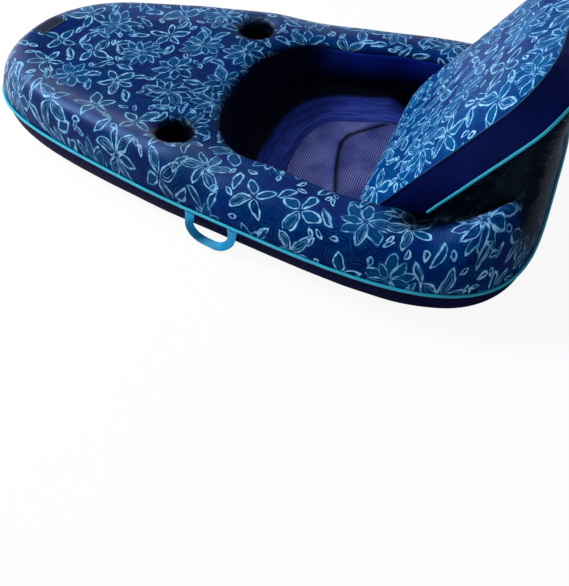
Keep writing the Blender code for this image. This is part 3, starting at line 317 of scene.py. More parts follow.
def printed_polyester(name, ground, cloud, teal, violet, shift=(0.0, 0.0, 0.0), specular=0.03):
    """Tightly woven, calendered polyester: deep blue with a soft gloss along its threads."""
    made, shader = new_material(name, specular=specular)
    cloth = add("Attribute", attribute_name=CLOTH).outputs["Vector"]
    cloth = add("VectorMath", cloth, shift, operation="ADD").outputs[0]
    shake = add("TexNoise", {"Vector": cloth, "Scale": 22.0, "Detail": 1.0})
    shake = add("VectorMath", shake.outputs["Color"], (0.5, 0.5, 0.5), operation="SUBTRACT")
    shake = add("VectorMath", {0: shake, "Scale": 21 * MM}, operation="SCALE")
    drawn = add("VectorMath", cloth, shake, operation="ADD")
    pressure = add("TexNoise", {"Vector": cloth, "Scale": 46.0, "Detail": 2.0})
    line = add("MapRange", pressure.outputs[0], 0.34, 0.66, 1.1 * MM, 3.0 * MM)

    flower_shift, leaf_shift, bud_shift = (0.31, 0.17, 0), (0.055, 0.093, 0), (0.021, 0.013, 0)
    turned, dice, _ = scatter(drawn, FLOWER_SPACING, 0.40, flower_shift)
    flower_ink, flower_inside, flower_edge = flower(turned, dice, line)
    pale = add("LESS_THAN", dice.outputs[2], 0.58)

    turned, dice, middle = scatter(drawn, LEAF_SPACING, 0.75, leaf_shift)
    clear = distance_to(middle, FLOWER_SPACING, 0.40, flower_shift)
    shown = add("GREATER_THAN", clear, PETAL_LENGTH)
    leaf_ink, leaf_inside, leaf_edge = leaf(turned, dice, LEAF_LENGTH, 0.17, line)
    leaf_ink, leaf_inside = add("MULTIPLY", leaf_ink, shown), add("MULTIPLY", leaf_inside, shown)
    leaf_edge = hidden(shown, leaf_edge)

    turned, dice, middle = scatter(drawn, BUD_SPACING, 0.85, bud_shift)
    clear = distance_to(middle, FLOWER_SPACING, 0.40, flower_shift)
    shown = add("GREATER_THAN", clear, PETAL_LENGTH * 1.02)
    clear = distance_to(middle, LEAF_SPACING, 0.75, leaf_shift)
    shown = add("MULTIPLY", shown, add("GREATER_THAN", clear, LEAF_LENGTH * 0.44))
    bud_ink = add("MULTIPLY", leaf(turned, dice, BUD_LENGTH, 0.22, line)[0], shown)

    ink = add("MAXIMUM", add("MAXIMUM", flower_ink, leaf_ink), bud_ink)
    inside = add("MAXIMUM", flower_inside, add("MULTIPLY", leaf_inside, 0.4))
    edge = add("MINIMUM", flower_edge, leaf_edge)

    wash = add("TexNoise", {"Vector": cloth, "Scale": 8.0, "Detail": 3.0})
    clouds = add("MapRange", wash.outputs[0], 0.40, 0.66)
    base = add("Mix", clouds, colour(ground), colour(cloud), data_type="RGBA")
    tint = add("TexNoise", {"Vector": cloth, "Scale": 6.0, "Detail": 1.0, "Distortion": 0.6})
    patches = add("MapRange", tint.outputs[0], 0.42, 0.60)
    echo_colour = add("Mix", patches, colour(teal), colour(violet), data_type="RGBA")
    warped = add("ADD", edge, add("MapRange", wash.outputs[0], 0.3, 0.7, -6 * MM, 6 * MM))
    echo = add("SINE", add("MULTIPLY", warped, FULL_TURN / (8.0 * MM)))
    fading = add("MapRange", edge, 2 * MM, 44 * MM, 0.70, 0.22)
    echo = add("MULTIPLY", add("MapRange", echo, 0.1, 0.9), fading)
    echo = add("MULTIPLY", echo, add("MapRange", pressure.outputs[0], 0.36, 0.58, 0.15, 1.0))
    base = add("Mix", echo, base, echo_colour, data_type="RGBA")
    glow = add("MapRange", edge, 12 * MM, 0.0, 0.0, 0.22, interpolation_type="SMOOTHSTEP")
    glow = add("MAXIMUM", add("MULTIPLY", inside, 0.42), glow)
    glow = add("MULTIPLY", glow, add("MapRange", tint.outputs[0], 0.40, 0.58))
    base = add("Mix", glow, base, colour(teal), data_type="RGBA")
    worn = add("TexNoise", {"Vector": cloth, "Scale": 190.0, "Detail": 1.0})
    bright = add("MapRange", pressure.outputs[0], 0.34, 0.64, 0.0, 0.75)
    bright = add("ADD", bright, add("MULTIPLY", pale, 0.25))
    ink_colour = add("Mix", bright, colour("#1c78bc"), colour("#98d4fa"), data_type="RGBA")
    ink = add("MULTIPLY", ink, add("MapRange", worn.outputs[0], 0.30, 0.52, 0.60, 1.0))
    painted = add("Mix", ink, base, ink_colour, data_type="RGBA")
    finish_cloth(shader, painted, weave(cloth, THREAD), 0.33, 0.55)
    # Painted highlight: specular rises to 0.6 in the rim band, and all highlights of this cloth are tinted light
    # blue.
    highlight_share = add("Attribute", attribute_name=PAINTED_HIGHLIGHT).outputs["Fac"]
    plug(shader, {"Specular Tint": colour("#7ab4ff"),
                  "Specular IOR Level": add("MapRange", highlight_share, 0.0, 1.0, specular, 0.60)})
    return made


PRINTED = printed_polyester("printed_polyester", "#001854", "#002466", "#006290", "#0a308c")
# The backrest's copy has lighter ground colours than the cover's: painted light, for the panel that faces the
# lamps.
BACKREST_LIT_PRINT = printed_polyester("backrest_lit_polyester", "#00286a", "#004080", "#006ea2", "#083f9a",
                                 (0.60, 0.43, 0.0))
print("nodes in the print:", len(PRINTED.node_tree.nodes))

# %% [markdown]
# ## Plain cloths, vinyl and plastic
# The underside, the well and the backrest's sides are plain navy cloth of the same weave. The seat is an open
# knit, whose courses run across the chair. Piping and webbing are bright cyan.

# %% Plain cloths
def plain_cloth(name, dark, light, roughness, pitch=THREAD, specular=0.05):
    """Plain woven cloth: two near tones in slow clouds, and a fine weave in its height and gloss."""
    made, shader = new_material(name, specular=specular)
    cloth = add("Attribute", attribute_name=CLOTH).outputs["Vector"]
    cloud = add("TexNoise", {"Vector": cloth, "Scale": 7.0, "Detail": 4.0})
    share = add("MapRange", cloud.outputs[0], 0.35, 0.65)
    base = add("Mix", share, colour(dark), colour(light), data_type="RGBA")
    finish_cloth(shader, base, weave(cloth, pitch), roughness, 0.4)
    return made


NAVY = plain_cloth("navy_polyester", "#05082a", "#0a0e36", 0.55, specular=0.02)
WELL = plain_cloth("well_polyester", "#0b1e76", "#10267e", 0.70, specular=0.02)
GUSSET = plain_cloth("gusset_polyester", "#02104e", "#051862", 0.50)


def open_knit(name, thread, hole, pitch, stretch=1.0):
    """Warp-knit net: slanted courses of thread over darker holes, with slow streaks along X times stretch."""
    made, shader = new_material(name, 0.66, 0.03)
    cloth = add("Attribute", attribute_name=CLOTH).outputs["Vector"]
    turned = add("VectorRotate", {"Vector": cloth, "Angle": math.radians(-4)}, rotation_type="Z_AXIS")
    across, along = thread_turns(turned, pitch)
    courses = add("MapRange", add("SINE", across), -0.5, 0.7)
    loops = add("MapRange", add("SINE", add("MULTIPLY", along, 1.3)), -1.0, 1.0)
    height = add("ADD", add("MULTIPLY", courses, 0.72), add("MULTIPLY", loops, 0.28))
    streaked = add("VectorMath", cloth, (stretch, 1.0, 1.0), operation="MULTIPLY")
    cloud = add("TexNoise", {"Vector": streaked, "Scale": 9.0, "Detail": 3.0})
    lit = add("MULTIPLY", height, add("MapRange", cloud.outputs[0], 0.38, 0.62, 0.35, 1.0))
    base = add("Mix", lit, colour(hole), colour(thread), data_type="RGBA")
    shade = add("Attribute", attribute_name=SHADE).outputs["Fac"]
    plug(shader, {"Base Color": add("VectorMath", {0: base, "Scale": shade}, operation="SCALE"),
                  "Normal": add("Bump", {"Strength": 0.5, "Distance": 0.6 * MM, "Height": height})})
    return made


NET = open_knit("seat_net", "#6c72a8", "#1c2668", 7.2 * MM)
BORDER = open_knit("border_net", "#4458b8", "#0e1c6c", 4.0 * MM, 9.0)


def webbing(name, dark, light, pitch):
    """Polyester webbing or cord cloth: a slanted rib, reading the piece's own cloth attribute."""
    made, shader = new_material(name, 0.5, 0.25)
    cloth = add("Attribute", attribute_name=CLOTH).outputs["Vector"]
    rib = add("MapRange", add("SINE", add("ADD", *thread_turns(cloth, pitch))), -1.0, 1.0)
    wear = add("TexNoise", {"Vector": cloth, "Scale": 30.0, "Detail": 3.0})
    tone = add("ADD", add("MULTIPLY", rib, 0.6), add("MULTIPLY", wear.outputs[0], 0.5))
    plug(shader, {"Base Color": add("Mix", tone, colour(dark), colour(light), data_type="RGBA"),
                  "Normal": add("Bump", {"Strength": 0.6, "Distance": 0.4 * MM, "Height": rib})})
    return made


CORD_CLOTH = webbing("piping_polyester", "#0880ac", "#34c6e2", 2.2 * MM)
WEBBING = webbing("webbing_polyester", "#0474ac", "#0cb0ee", 2.0 * MM)
WELT = webbing("welt_polyester", "#05305e", "#0a5282", 2.2 * MM)

# %% [markdown]
# Inside are chambers of welded vinyl sheet, and the cups and valves are moulded vinyl. All have one plain tone,
# and a fine grain breaks their gloss.

# %% Vinyl and moulded plastic
def vinyl(name, base, roughness, grain, specular=0.5):
    """Sheet or moulded vinyl: one tone with slow clouds and a fine grain that breaks its gloss."""
    made, shader = new_material(name, roughness, specular)
    spot = add("TexCoord").outputs["Object"]
    cloud = add("TexNoise", {"Vector": spot, "Scale": 14.0, "Detail": 3.0})
    tone = add("MapRange", cloud.outputs[0], 0.3, 0.7, 0.85, 1.2)
    fine = add("TexNoise", {"Vector": spot, "Scale": 1 / grain, "Detail": 2.0})
    gloss = add("MapRange", fine.outputs[0], 0.3, 0.7, roughness - 0.06, roughness + 0.06)
    plug(shader, {"Base Color": add("VectorMath", {0: colour(base)[:3], "Scale": tone}, operation="SCALE"),
                  "Roughness": gloss,
                  "Normal": add("Bump", {"Strength": 0.3, "Distance": 0.1 * MM, "Height": fine})})
    return made


BLADDER = vinyl("bladder_vinyl", "#39486c", 0.35, 1.5 * MM)
CUP = vinyl("cup_vinyl", "#020310", 0.6, 1.2 * MM, 0.03)
PLASTIC = vinyl("valve_vinyl", "#101a44", 0.38, 0.9 * MM, 0.35)

# %% [markdown]
# The valves and the inner webs have the right shape as solids, so they stay, and only their material is new.

# %% Solids that stay
for solid in [o for o in bpy.data.objects if o.type == "MESH"]:
    if "_valve_" in solid.name or "_web_" in solid.name:
        solid.data.materials.clear()
        solid.data.materials.append(PLASTIC if "_valve_" in solid.name else BLADDER)
        print("solid:", solid.name, solid.data.materials[0].name)

# %% [markdown]
# ## The ring's shape
# The ring is a fat tube round a seat well, wider and flat at the foot. It has no straight line, so it is
# described the way it was measured: for each ray from the seat, a section through the tube. The outline in plan
# is a taper on a superellipse, and each section is a shoulder, a top, the well's wall and the underside. These
# are the same curves as the solids', only finer, and the folds come after.

# %% Outlines in plan
FINE = 4000


def smooth(share):
    share = np.clip(share, 0, 1)
    return share * share * (3 - 2 * share)


def mix(first, second, share):
    return first * (1 - share) + second * share


def half_width(x):
    """Half the ring's width at its seam."""
    share = np.clip(np.asarray(x, float) / HALF_LENGTH, -1, 1)
    power = np.where(share < 0, FOOT_ROUNDNESS, HEAD_ROUNDNESS)
    taper = np.polyval(np.polyfit(LENGTH_SHARES, WIDTH_SHARES, len(LENGTH_SHARES) - 1), share)
    return HALF_WIDTH * taper * (1 - np.abs(share) ** power) ** (1 / power)


def well_half_width(x):
    taper = smooth((np.asarray(x) - WELL_FRONT_X - WELL_ROUNDING) / WELL_TAPER)
    return mix(WELL_FRONT_WIDTH, WELL_REAR_WIDTH, taper) / 2


def polar(x, y):
    """Angle and distance of an outline's points, seen from the middle of the seat."""
    angle = np.arctan2(y, x - EYE_X)
    order = np.argsort(angle)
    return angle[order], np.hypot(x - EYE_X, y)[order]


def well_outline(front_x):
    """Half of the well's outline in plan, from its front to the top of the riser."""
    turn = np.linspace(0, math.pi / 2, FINE)
    round_x = front_x + WELL_ROUNDING * (1 - np.cos(turn) ** (2 / WELL_ROUNDNESS))
    round_y = well_half_width(round_x) * np.sin(turn) ** (2 / WELL_ROUNDNESS)
    corner, top = TOP_CORNER + SIDE_CLEARANCE, BACKREST_LENGTH + SIDE_CLEARANCE
    side_x = np.linspace(front_x + WELL_ROUNDING, RISER_FACE_X + (top - corner) * SLOPE.x, FINE)
    up = top - corner + corner * np.sin(turn)
    across = WELL_REAR_WIDTH / 2 - corner * (1 - np.cos(turn))
    return (np.concatenate([round_x, side_x, RISER_FACE_X + up * SLOPE.x, [RISER_FACE_X + top * SLOPE.x]]),
            np.concatenate([round_y, well_half_width(side_x), across, [0.0]]))


RING_X = -HALF_LENGTH * np.cos(np.linspace(0, math.pi, FINE))
RING_POLAR = polar(RING_X, half_width(RING_X))
WELL_POLAR = polar(*well_outline(WELL_FRONT_X))
FLOOR_POLAR = polar(*well_outline(WELL_FRONT_X + WALL_SLOPE))

# %% One section of the tube
SHOULDER_STEPS, TOP_STEPS, WALL_STEPS, BILGE_STEPS = 18, 58, 16, 14
SHOULDER_FULLNESS = 2.25


def wall_distance(angle, z, edge, floor):
    """Distance from the seat at which the well's wall, or the riser's face, stands at height z."""
    share = min(z / EDGE_HEIGHT, 1)
    ahead = math.cos(angle)
    wall = mix(floor, edge, share) - WALL_BULGE * math.sin(math.pi * share) * (1 - smooth(2 * ahead + 0.5))
    if ahead <= 0:
        return wall
    return min(wall, (RISER_FACE_X - EYE_X + z / math.tan(TILT)) / ahead)


def riser_height(share, rim, edge_z, depth, lift):
    """Height between the tube's crest and the riser's top edge: down a valley, then up the riser's side."""
    down = rim - depth * smooth(share / VALLEY_SHARE)
    valley = down + (edge_z - rim + depth) * smooth((share - VALLEY_SHARE) / (1 - VALLEY_SHARE))
    return mix(valley, mix(rim, edge_z, share), smooth(2 * lift - 1))


def section(angle):
    """Points of one section as (distance, height): top from seam to well edge, then wall, then underside."""
    side, ahead = abs(angle), math.cos(angle)
    outer, edge, floor = (np.interp(side, *line) for line in (RING_POLAR, WELL_POLAR, FLOOR_POLAR))
    edge_z = max(EDGE_HEIGHT, (EYE_X + edge * ahead - RISER_FACE_X) * math.tan(TILT))
    lift = smooth((edge_z - EDGE_HEIGHT) / (BACKREST_LENGTH * SLOPE.z - EDGE_HEIGHT))
    deckness = smooth((WELL_FRONT_X - EYE_X - outer * ahead) / WELL_ROUNDING + 0.5)
    rim, plain = mix(SIDE_HEIGHT, RIM_HEIGHT, deckness), mix(SIDE_HEIGHT, DECK_HEIGHT, deckness)
    width = outer - edge
    shoulder = min(SHOULDER_REACH, SHOULDER_SHARE * max(width, 0))
    horn = smooth((EYE_X + (outer - shoulder) * ahead - RISER_FACE_X - HORN_START) / HORN_LENGTH)
    rim += HORN_RISE * horn
    turns = [math.pi / 2 * step / SHOULDER_STEPS for step in range(SHOULDER_STEPS + 1)]
    full = 2 / SHOULDER_FULLNESS
    top = [(outer - shoulder * (1 - abs(math.cos(t)) ** full), mix(SEAM_HEIGHT, rim, math.sin(t) ** full))
           for t in turns]
    for share in np.linspace(0, 1, TOP_STEPS + 1)[1:]:
        even = mix(share, smooth(share), 0.5) if deckness > 0 else share ** mix(1.0, 2.0, lift)
        distance = outer - shoulder - (width - shoulder) * even
        level = mix(rim, plain, smooth((outer - shoulder - distance) / SHOULDER_REACH))
        reach = np.clip((edge + EDGE_ROUNDING - distance) / EDGE_ROUNDING, 0, 1)
        level = EDGE_HEIGHT + (level - EDGE_HEIGHT) * math.sqrt(1 - reach * reach)
        behind = riser_height(share, rim, edge_z, VALLEY_DEPTH * horn, lift)
        level = mix(level, behind, smooth((edge_z - EDGE_HEIGHT) / SLOPE.x * 10))
        top.append((distance, level))
    wall = [(wall_distance(angle, z, edge, floor), z) for z in np.linspace(edge_z, 0, WALL_STEPS + 1)]
    foot, flat = wall[-1][0], outer - BILGE_REACH
    under = [(mix(foot, flat, share), 0.0) for share in np.linspace(0, 1, 9)]
    under += [(flat + BILGE_REACH * math.sin(t), SEAM_HEIGHT * (1 - math.cos(t)))
              for t in np.linspace(0, math.pi / 2, BILGE_STEPS + 1)[1:]]
    return np.array(top), np.array(wall), np.array(under)


RAYS = 480
heading = np.unwrap(np.arctan2(np.gradient(half_width(RING_X)), np.gradient(RING_X)))
spread = np.hypot(np.diff(RING_X), np.diff(half_width(RING_X))) + 0.30 * np.abs(np.diff(heading))
spread = np.concatenate([[0], np.cumsum(spread)])
stops = np.linspace(0, spread[-1], RAYS // 2 + 1)
half_angles = np.arctan2(np.interp(stops, spread, half_width(RING_X)), np.interp(stops, spread, RING_X) - EYE_X)
ANGLES = np.concatenate([-half_angles, half_angles[-2:0:-1]])
SECTIONS = [section(angle) for angle in ANGLES]
print("rays:", len(ANGLES), "points in a section:", sum(len(p) for p in SECTIONS[0]))

# %% [markdown]
# A piece of cloth is a grid of points: one row for each ray. Beside its place, each point keeps the place it
# had on the flat cloth, which the print follows. That is its place in plan, let out along the ray by the length
# of cloth between it and the crest.

# %% Cloth grids
def at_bearing(angle, distance, height):
    """Points at one bearing from the middle of the seat, from their distances and heights."""
    return np.stack([EYE_X + distance * math.cos(angle), distance * math.sin(angle), height], axis=1)


def ring_points(which):
    """World points and flat-cloth points of one strip of all sections, as grids of rays by steps."""
    world, flat = [], []
    for angle, strips in zip(ANGLES, SECTIONS):
        strip = strips[which]
        run = np.concatenate([[0], np.cumsum(np.hypot(*np.diff(strip, axis=0).T))])
        if which == 0:
            along = strip[SHOULDER_STEPS, 0] - (run - run[SHOULDER_STEPS])
        elif which == 1:
            along = strip[0, 0] - run
        else:
            along = strip[0, 0] + run
        world.append(at_bearing(angle, *strip.T))
        flat.append(at_bearing(angle, along, 0 * along))
    return np.array(world), np.array(flat)


def make_mesh(name, points, faces, cloth, finish):
    """Object of points and faces given about the ring's middle, with its flat-cloth attribute."""
    mesh = bpy.data.meshes.new(name)
    moved = np.asarray(points).reshape(-1, 3) + np.array([SHIFT, 0, 0])
    mesh.from_pydata(moved.tolist(), [], [list(map(int, f)) for f in faces])
    layer = mesh.attributes.new(CLOTH, "FLOAT_VECTOR", "POINT")
    layer.data.foreach_set("vector", np.asarray(cloth).reshape(-1).astype(np.float32))
    mesh.attributes.new(SHADE, "FLOAT", "POINT").data.foreach_set("value", np.ones(len(moved), np.float32))
    mesh.attributes.new(PAINTED_HIGHLIGHT, "FLOAT", "POINT")
    body = bpy.data.objects.new(name, mesh)
    bpy.context.collection.objects.link(body)
    mesh.materials.append(finish)
    mesh.shade_smooth()
    return body


def set_tone(body, name, shade_of):
    """Sets one tone of each point from its place about the ring's middle, given as arrays x, y and z."""
    places = np.empty(len(body.data.vertices) * 3)
    body.data.vertices.foreach_get("co", places)
    x, y, z = places.reshape(-1, 3).T
    values = np.clip(shade_of(x - SHIFT, y, z), 0, 1)
    body.data.attributes[name].data.foreach_set("value", values.astype(np.float32))


def grid_faces(rows, columns, closed_rows=False, closed_columns=False):
    """Quads of a grid of points numbered row by row."""
    index = np.arange(rows * columns).reshape(rows, columns)
    if closed_rows:
        index = np.concatenate([index, index[:1]])
    if closed_columns:
        index = np.concatenate([index, index[:, :1]], axis=1)
    return np.stack([index[:-1, :-1], index[1:, :-1], index[1:, 1:], index[:-1, 1:]], axis=-1).reshape(-1, 4)


def end_caps(rows, columns):
    """Two faces that close a tube of points numbered row by row."""
    return [list(range(columns)), list(range((rows - 1) * columns, rows * columns))[::-1]]


def grid_mesh(name, world, flat, closed, finish):
    return make_mesh(name, world, grid_faces(*world.shape[:2], closed_rows=closed), flat, finish)


def pick(body):
    """Makes one object the only selected one, and the active one."""
    bpy.ops.object.select_all(action="DESELECT")
    body.select_set(True)
    bpy.context.view_layer.objects.active = body


def face_outwards(body):
    """Turns all faces of a closed mesh outwards."""
    pick(body)
    bpy.ops.object.mode_set(mode="EDIT")
    bpy.ops.mesh.select_all(action="SELECT")
    bpy.ops.mesh.normals_make_consistent(inside=False)
    bpy.ops.object.mode_set(mode="OBJECT")
    return body


@contextmanager
def open_mesh(body):
    """Opens an object's mesh for editing, and writes it back at the end of the block."""
    shape = bmesh.new()
    shape.from_mesh(body.data)
    yield shape
    shape.to_mesh(body.data)
    shape.free()


def apply(body, kind, **settings):
    """Adds a modifier, sets it and applies it."""
    pick(body)
    made = body.modifiers.new(kind.title(), kind)
    for name, value in settings.items():
        setattr(made, name, value)
    bpy.ops.object.modifier_apply(modifier=made.name)


def dress(body, rides, slot, *replaced):
    """Gives a piece its body and hides the solids that it stands for. The slot is not used."""
    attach(body, rides)
    if replaced:
        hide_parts(*replaced)


def finish_padded(body, slot, node):
    apply(body, "SOLIDIFY", thickness=CLOTH_THICKNESS, offset=-1.0)
    body.data.shade_smooth()
    dress(body, "root", slot, node)
    print(body.name, "faces:", len(body.data.polygons))


def run_along(path):
    """Length of a path from its start to each of its points."""
    return np.concatenate([[0], np.cumsum(np.linalg.norm(np.diff(path, axis=0), axis=1))])


def wander(points, size, seed):
    """Smooth noise of about -1 to 1 at each point, with features of a given size."""
    flat = np.asarray(points).reshape(-1, 3)
    values = [noise.noise(Vector(p) / size + Vector((seed, -seed, 2 * seed))) for p in flat.tolist()]
    return np.array(values).reshape(np.asarray(points).shape[:-1])


def normals_of(world, closed):
    """Unit normals of a grid of points, on the side where faces look."""
    along = np.gradient(world, axis=1)
    round_ = (np.roll(world, -1, axis=0) - np.roll(world, 1, axis=0)) if closed else np.gradient(world, axis=0)
    normal = np.cross(round_, along)
    return normal / np.maximum(np.linalg.norm(normal, axis=2, keepdims=True), 1e-12)


# %% [markdown]
# ## Top cover
# Air pressure keeps this cloth tight, so its folds are small: gathers where the seam pulls the cloth in, soft
# swells at random, and a funnel where it turns down into each cup. Each is a small move of the points along
# their normals.

# %% Top cover
CLOTH_THICKNESS, GATHER_SPACING = 1.2 * MM, 0.040


def seam_gathers(world, seam, height, length):
    """Ripples square to a seam, strongest at it and gone after a given length, uneven along it."""
    around = run_along(world[:, seam])
    uneven = np.array([noise.noise(Vector((s * 9, 3.1, height * 900))) for s in around])
    wave = np.sin(around * 2 * math.pi / GATHER_SPACING + 5 * uneven) * (0.45 + 0.55 * uneven)
    away = np.linalg.norm(world - world[:, seam][:, None], axis=2)
    return height * wave[:, None] * np.exp(-(away / length) ** 2)


world, flat = ring_points(0)
normal = normals_of(world, closed=True)
swell = 2.2 * MM * wander(world, 0.16, 1.7) + 0.8 * MM * wander(world, 0.055, 4.2)
swell += seam_gathers(world, 0, 1.6 * MM, 0.030) + seam_gathers(world, -1, 1.4 * MM, 0.022)
fade = smooth(np.linalg.norm(world - world[:, :1], axis=2) / 0.02)
fade *= smooth(np.linalg.norm(world - world[:, -1:], axis=2) / 0.02)
world = world + normal * (swell * (0.25 + 0.75 * fade))[..., None]
top_cover = grid_mesh("ring_top_cover", world, flat, True, PRINTED)

# %% [markdown]
# The cloth needs more points round the cups. The faces near each are subdivided, and then the points inside the
# funnel are drawn down: the nearer to the middle, the further along the funnel's profile.

# %% Cup funnels
FUNNEL_RADIUS, LIP_RADIUS, SKIRT_RADIUS, SKIRT_LENGTH = 0.086, 0.017, 0.051, 0.006


def refine(shape, middles, reach, lowest=-1.0):
    """Subdivides the faces of a BMesh near some points, save those whose normals look further down."""
    near = [f for f in shape.faces if f.normal.z >= lowest
            and min((f.calc_center_median() - m).length for m in middles) < reach]
    bmesh.ops.subdivide_edges(shape, edges=list({e for f in near for e in f.edges}), cuts=1, use_grid_fill=True)


def dip_to_cups(shape):
    """Refines the cover round both cups and draws it down into them, leaving a round hole at the bottom."""
    middles = [Vector((CUP_X + SHIFT, side * CUP_Y, DECK_HEIGHT)) for side in (1, -1)]
    for reach in (FUNNEL_RADIUS + 0.012, FUNNEL_RADIUS + 0.004):
        refine(shape, middles, reach, lowest=-0.3)
    turn = LIP_RADIUS * math.pi / 2
    flat_run = FUNNEL_RADIUS - SKIRT_RADIUS - LIP_RADIUS
    slack = 0.16 * flat_run
    for middle in middles:
        for v in shape.verts:
            away = (v.co - middle).xy
            if away.length > FUNNEL_RADIUS or v.co.z < EDGE_HEIGHT * 0.9:
                continue
            share = 1 - away.length / FUNNEL_RADIUS
            run = share * 1.6 * (turn + SKIRT_LENGTH + flat_run)
            if run < flat_run:
                radius, drop = FUNNEL_RADIUS - run, slack * (run / flat_run) ** 2
            elif run < flat_run + turn:
                angle = (run - flat_run) / LIP_RADIUS
                radius = SKIRT_RADIUS + LIP_RADIUS * (1 - math.sin(angle))
                drop = slack + LIP_RADIUS * (1 - math.cos(angle))
            else:
                radius, drop = SKIRT_RADIUS, slack + LIP_RADIUS + run - flat_run - turn
            heading = away.normalized() if away.length > 1e-6 else Vector((1, 0))
            bearing = math.atan2(heading.y, heading.x)
            ripple = 0.8 * MM * math.sin(9 * bearing + middle.y * 20) * smooth(share * 4) * smooth(4 - share * 8)
            v.co.x = middle.x + heading.x * (radius + ripple)
            v.co.y = middle.y + heading.y * (radius + ripple)
            v.co.z -= drop
    low = [f for f in shape.faces
           if f.calc_center_median().z < DECK_HEIGHT - LIP_RADIUS - SKIRT_LENGTH - 2 * MM
           and min((f.calc_center_median() - m).xy.length for m in middles) < SKIRT_RADIUS + 3 * MM]
    bmesh.ops.delete(shape, geom=low, context="FACES")


with open_mesh(top_cover) as shape:
    dip_to_cups(shape)


def cover_shade(x, y, z):
    """Painted shade on the cover: dark where it turns down into a cup, with painted light streaks on one side
    of each cup, and darker near the well's edge, in the valley and on the side beside the riser, at the rear
    corners and toward the foot.
    """
    away = np.hypot(x - CUP_X, np.abs(y) - CUP_Y)
    bearing = np.arctan2(y - np.sign(y) * CUP_Y, x - CUP_X)
    streaks = 0.5 + 0.5 * np.sin(bearing * 17 + 2 * np.sin(bearing * 5))
    facing = smooth(0.6 + 0.5 * np.cos(bearing + 0.3))
    cups = 0.04 + 0.96 * smooth((away - 0.054) / 0.032)
    cups = cups + 0.35 * streaks * facing * smooth((away - 0.052) / 0.006) * smooth((0.080 - away) / 0.014)
    rim = np.interp(np.abs(np.arctan2(y, x - EYE_X)), *WELL_POLAR)
    cups = cups * (0.40 + 0.60 * smooth((np.hypot(x - EYE_X, y) - rim) / 0.022))
    inner = smooth((half_width(x) - SHOULDER_REACH * 0.95 - np.abs(y)) / 0.05)
    valley = inner * smooth((x - RISER_FACE_X - 0.02) / 0.10) * smooth((np.abs(y) - 0.20) / 0.12)
    side = smooth((0.388 - np.abs(y)) / 0.014) * smooth((np.abs(y) - 0.30) / 0.04) * smooth((z - 0.21) / 0.03)
    side = side * smooth((x - RISER_FACE_X - 0.02) / 0.10) * smooth((0.885 - x) / 0.03)
    valley = np.maximum(valley, side)
    corner = smooth((x - 0.83) / 0.03) * smooth((np.abs(y) - 0.18) / 0.10) * smooth((z - 0.16) / 0.08)
    foot = smooth((0.15 - x) / 0.25)
    return np.minimum(cups, 1) * (1 - 0.97 * valley) * (1 - 0.75 * corner) * (1 - 0.26 * foot)


def painted_rim_highlight(x, y, z):
    """Painted highlight: a band of raised specular along the rim, strongest beside the deck and gone along the
    seat.
    """
    from_seam = half_width(x) - np.abs(y)
    along = 0.15 + 0.85 * smooth((WELL_FRONT_X + 0.30 - x) / 0.30)
    return np.exp(-((from_seam - 0.080) / 0.045) ** 2) * along


set_tone(top_cover, SHADE, cover_shade)
set_tone(top_cover, PAINTED_HIGHLIGHT, painted_rim_highlight)

# %% [markdown]
# A valve's flange lies flat on the bladder, so the cloth is flat round it and ends at a round hole. The same
# function serves both valves: it refines the cloth near the valve, brings it into the valve's plane and cuts the
# hole.

# %% Valve holes
HOLE_RADIUS, FLAT_RADIUS = 0.0250, 0.050


def cut_valve_hole(shape, middle, normal):
    """Flattens a cloth round a valve and cuts a round hole for its flange."""
    for reach in (FLAT_RADIUS + 0.012, FLAT_RADIUS * 0.8):
        refine(shape, [middle], reach)
    for v in shape.verts:
        offset = v.co - middle
        height = offset.dot(normal)
        across = (offset - normal * height).length
        if offset.length < 2 * FLAT_RADIUS:
            v.co -= normal * height * float(1 - smooth((across - HOLE_RADIUS) / (FLAT_RADIUS - HOLE_RADIUS)))
    gone = [v for v in shape.verts if (v.co - middle).length < HOLE_RADIUS]
    bmesh.ops.delete(shape, geom=gone, context="VERTS")
    for v in shape.verts:
        offset = v.co - middle
        if v.is_boundary and offset.length < HOLE_RADIUS + 6 * MM:
            v.co = middle + offset.normalized() * HOLE_RADIUS


def rear_shoulder(turn):
    """Point of the ring's rear shoulder at a turn up from the seam, as the solids have it."""
    (outer, _), (crest, rim) = rear[0], rear[SHOULDER_STEPS]
    x = EYE_X + SHIFT + np.interp(0, *RING_POLAR) - (outer - crest) * (1 - math.cos(turn))
    return Vector((x, 0, mix(SEAM_HEIGHT, rim, math.sin(turn))))


rear = section(0.0)[0]
low, high = rear_shoulder(math.radians(36)), rear_shoulder(math.radians(54))
ring_valve_normal = Vector((high.z - low.z, 0, low.x - high.x)).normalized()
with open_mesh(top_cover) as shape:
    cut_valve_hole(shape, (low + high) / 2, ring_valve_normal)
finish_padded(top_cover, "printed_polyester", "top_cover")
print("ring valve at:", (low + high) / 2)

# %% [markdown]
# ## Well lining, riser lining and underside
# The lining hangs from the well's edge to the floor, slack at its front corners. The underside rests on the
# floor, so it stays flat there, and it gathers at the seam like the top.

# %% Linings
world, flat = ring_points(1)
edge_x = np.array([EYE_X + np.interp(abs(a), *WELL_POLAR) * math.cos(a) for a in ANGLES])
order = sorted(np.nonzero(edge_x < RISER_FACE_X + 0.06)[0], key=lambda i: ANGLES[i] % (2 * math.pi))
lining, lining_flat = world[order], flat[order]
normal = normals_of(lining, closed=False)
folds = 3.0 * MM * wander(lining * np.array([1, 1, 0.4]), 0.05, 8.8)
lining = lining + normal * (folds * np.sin(np.linspace(0, math.pi, lining.shape[1]))[None, :])[..., None]
well_lining = grid_mesh("well_lining", lining, lining_flat, False, WELL)
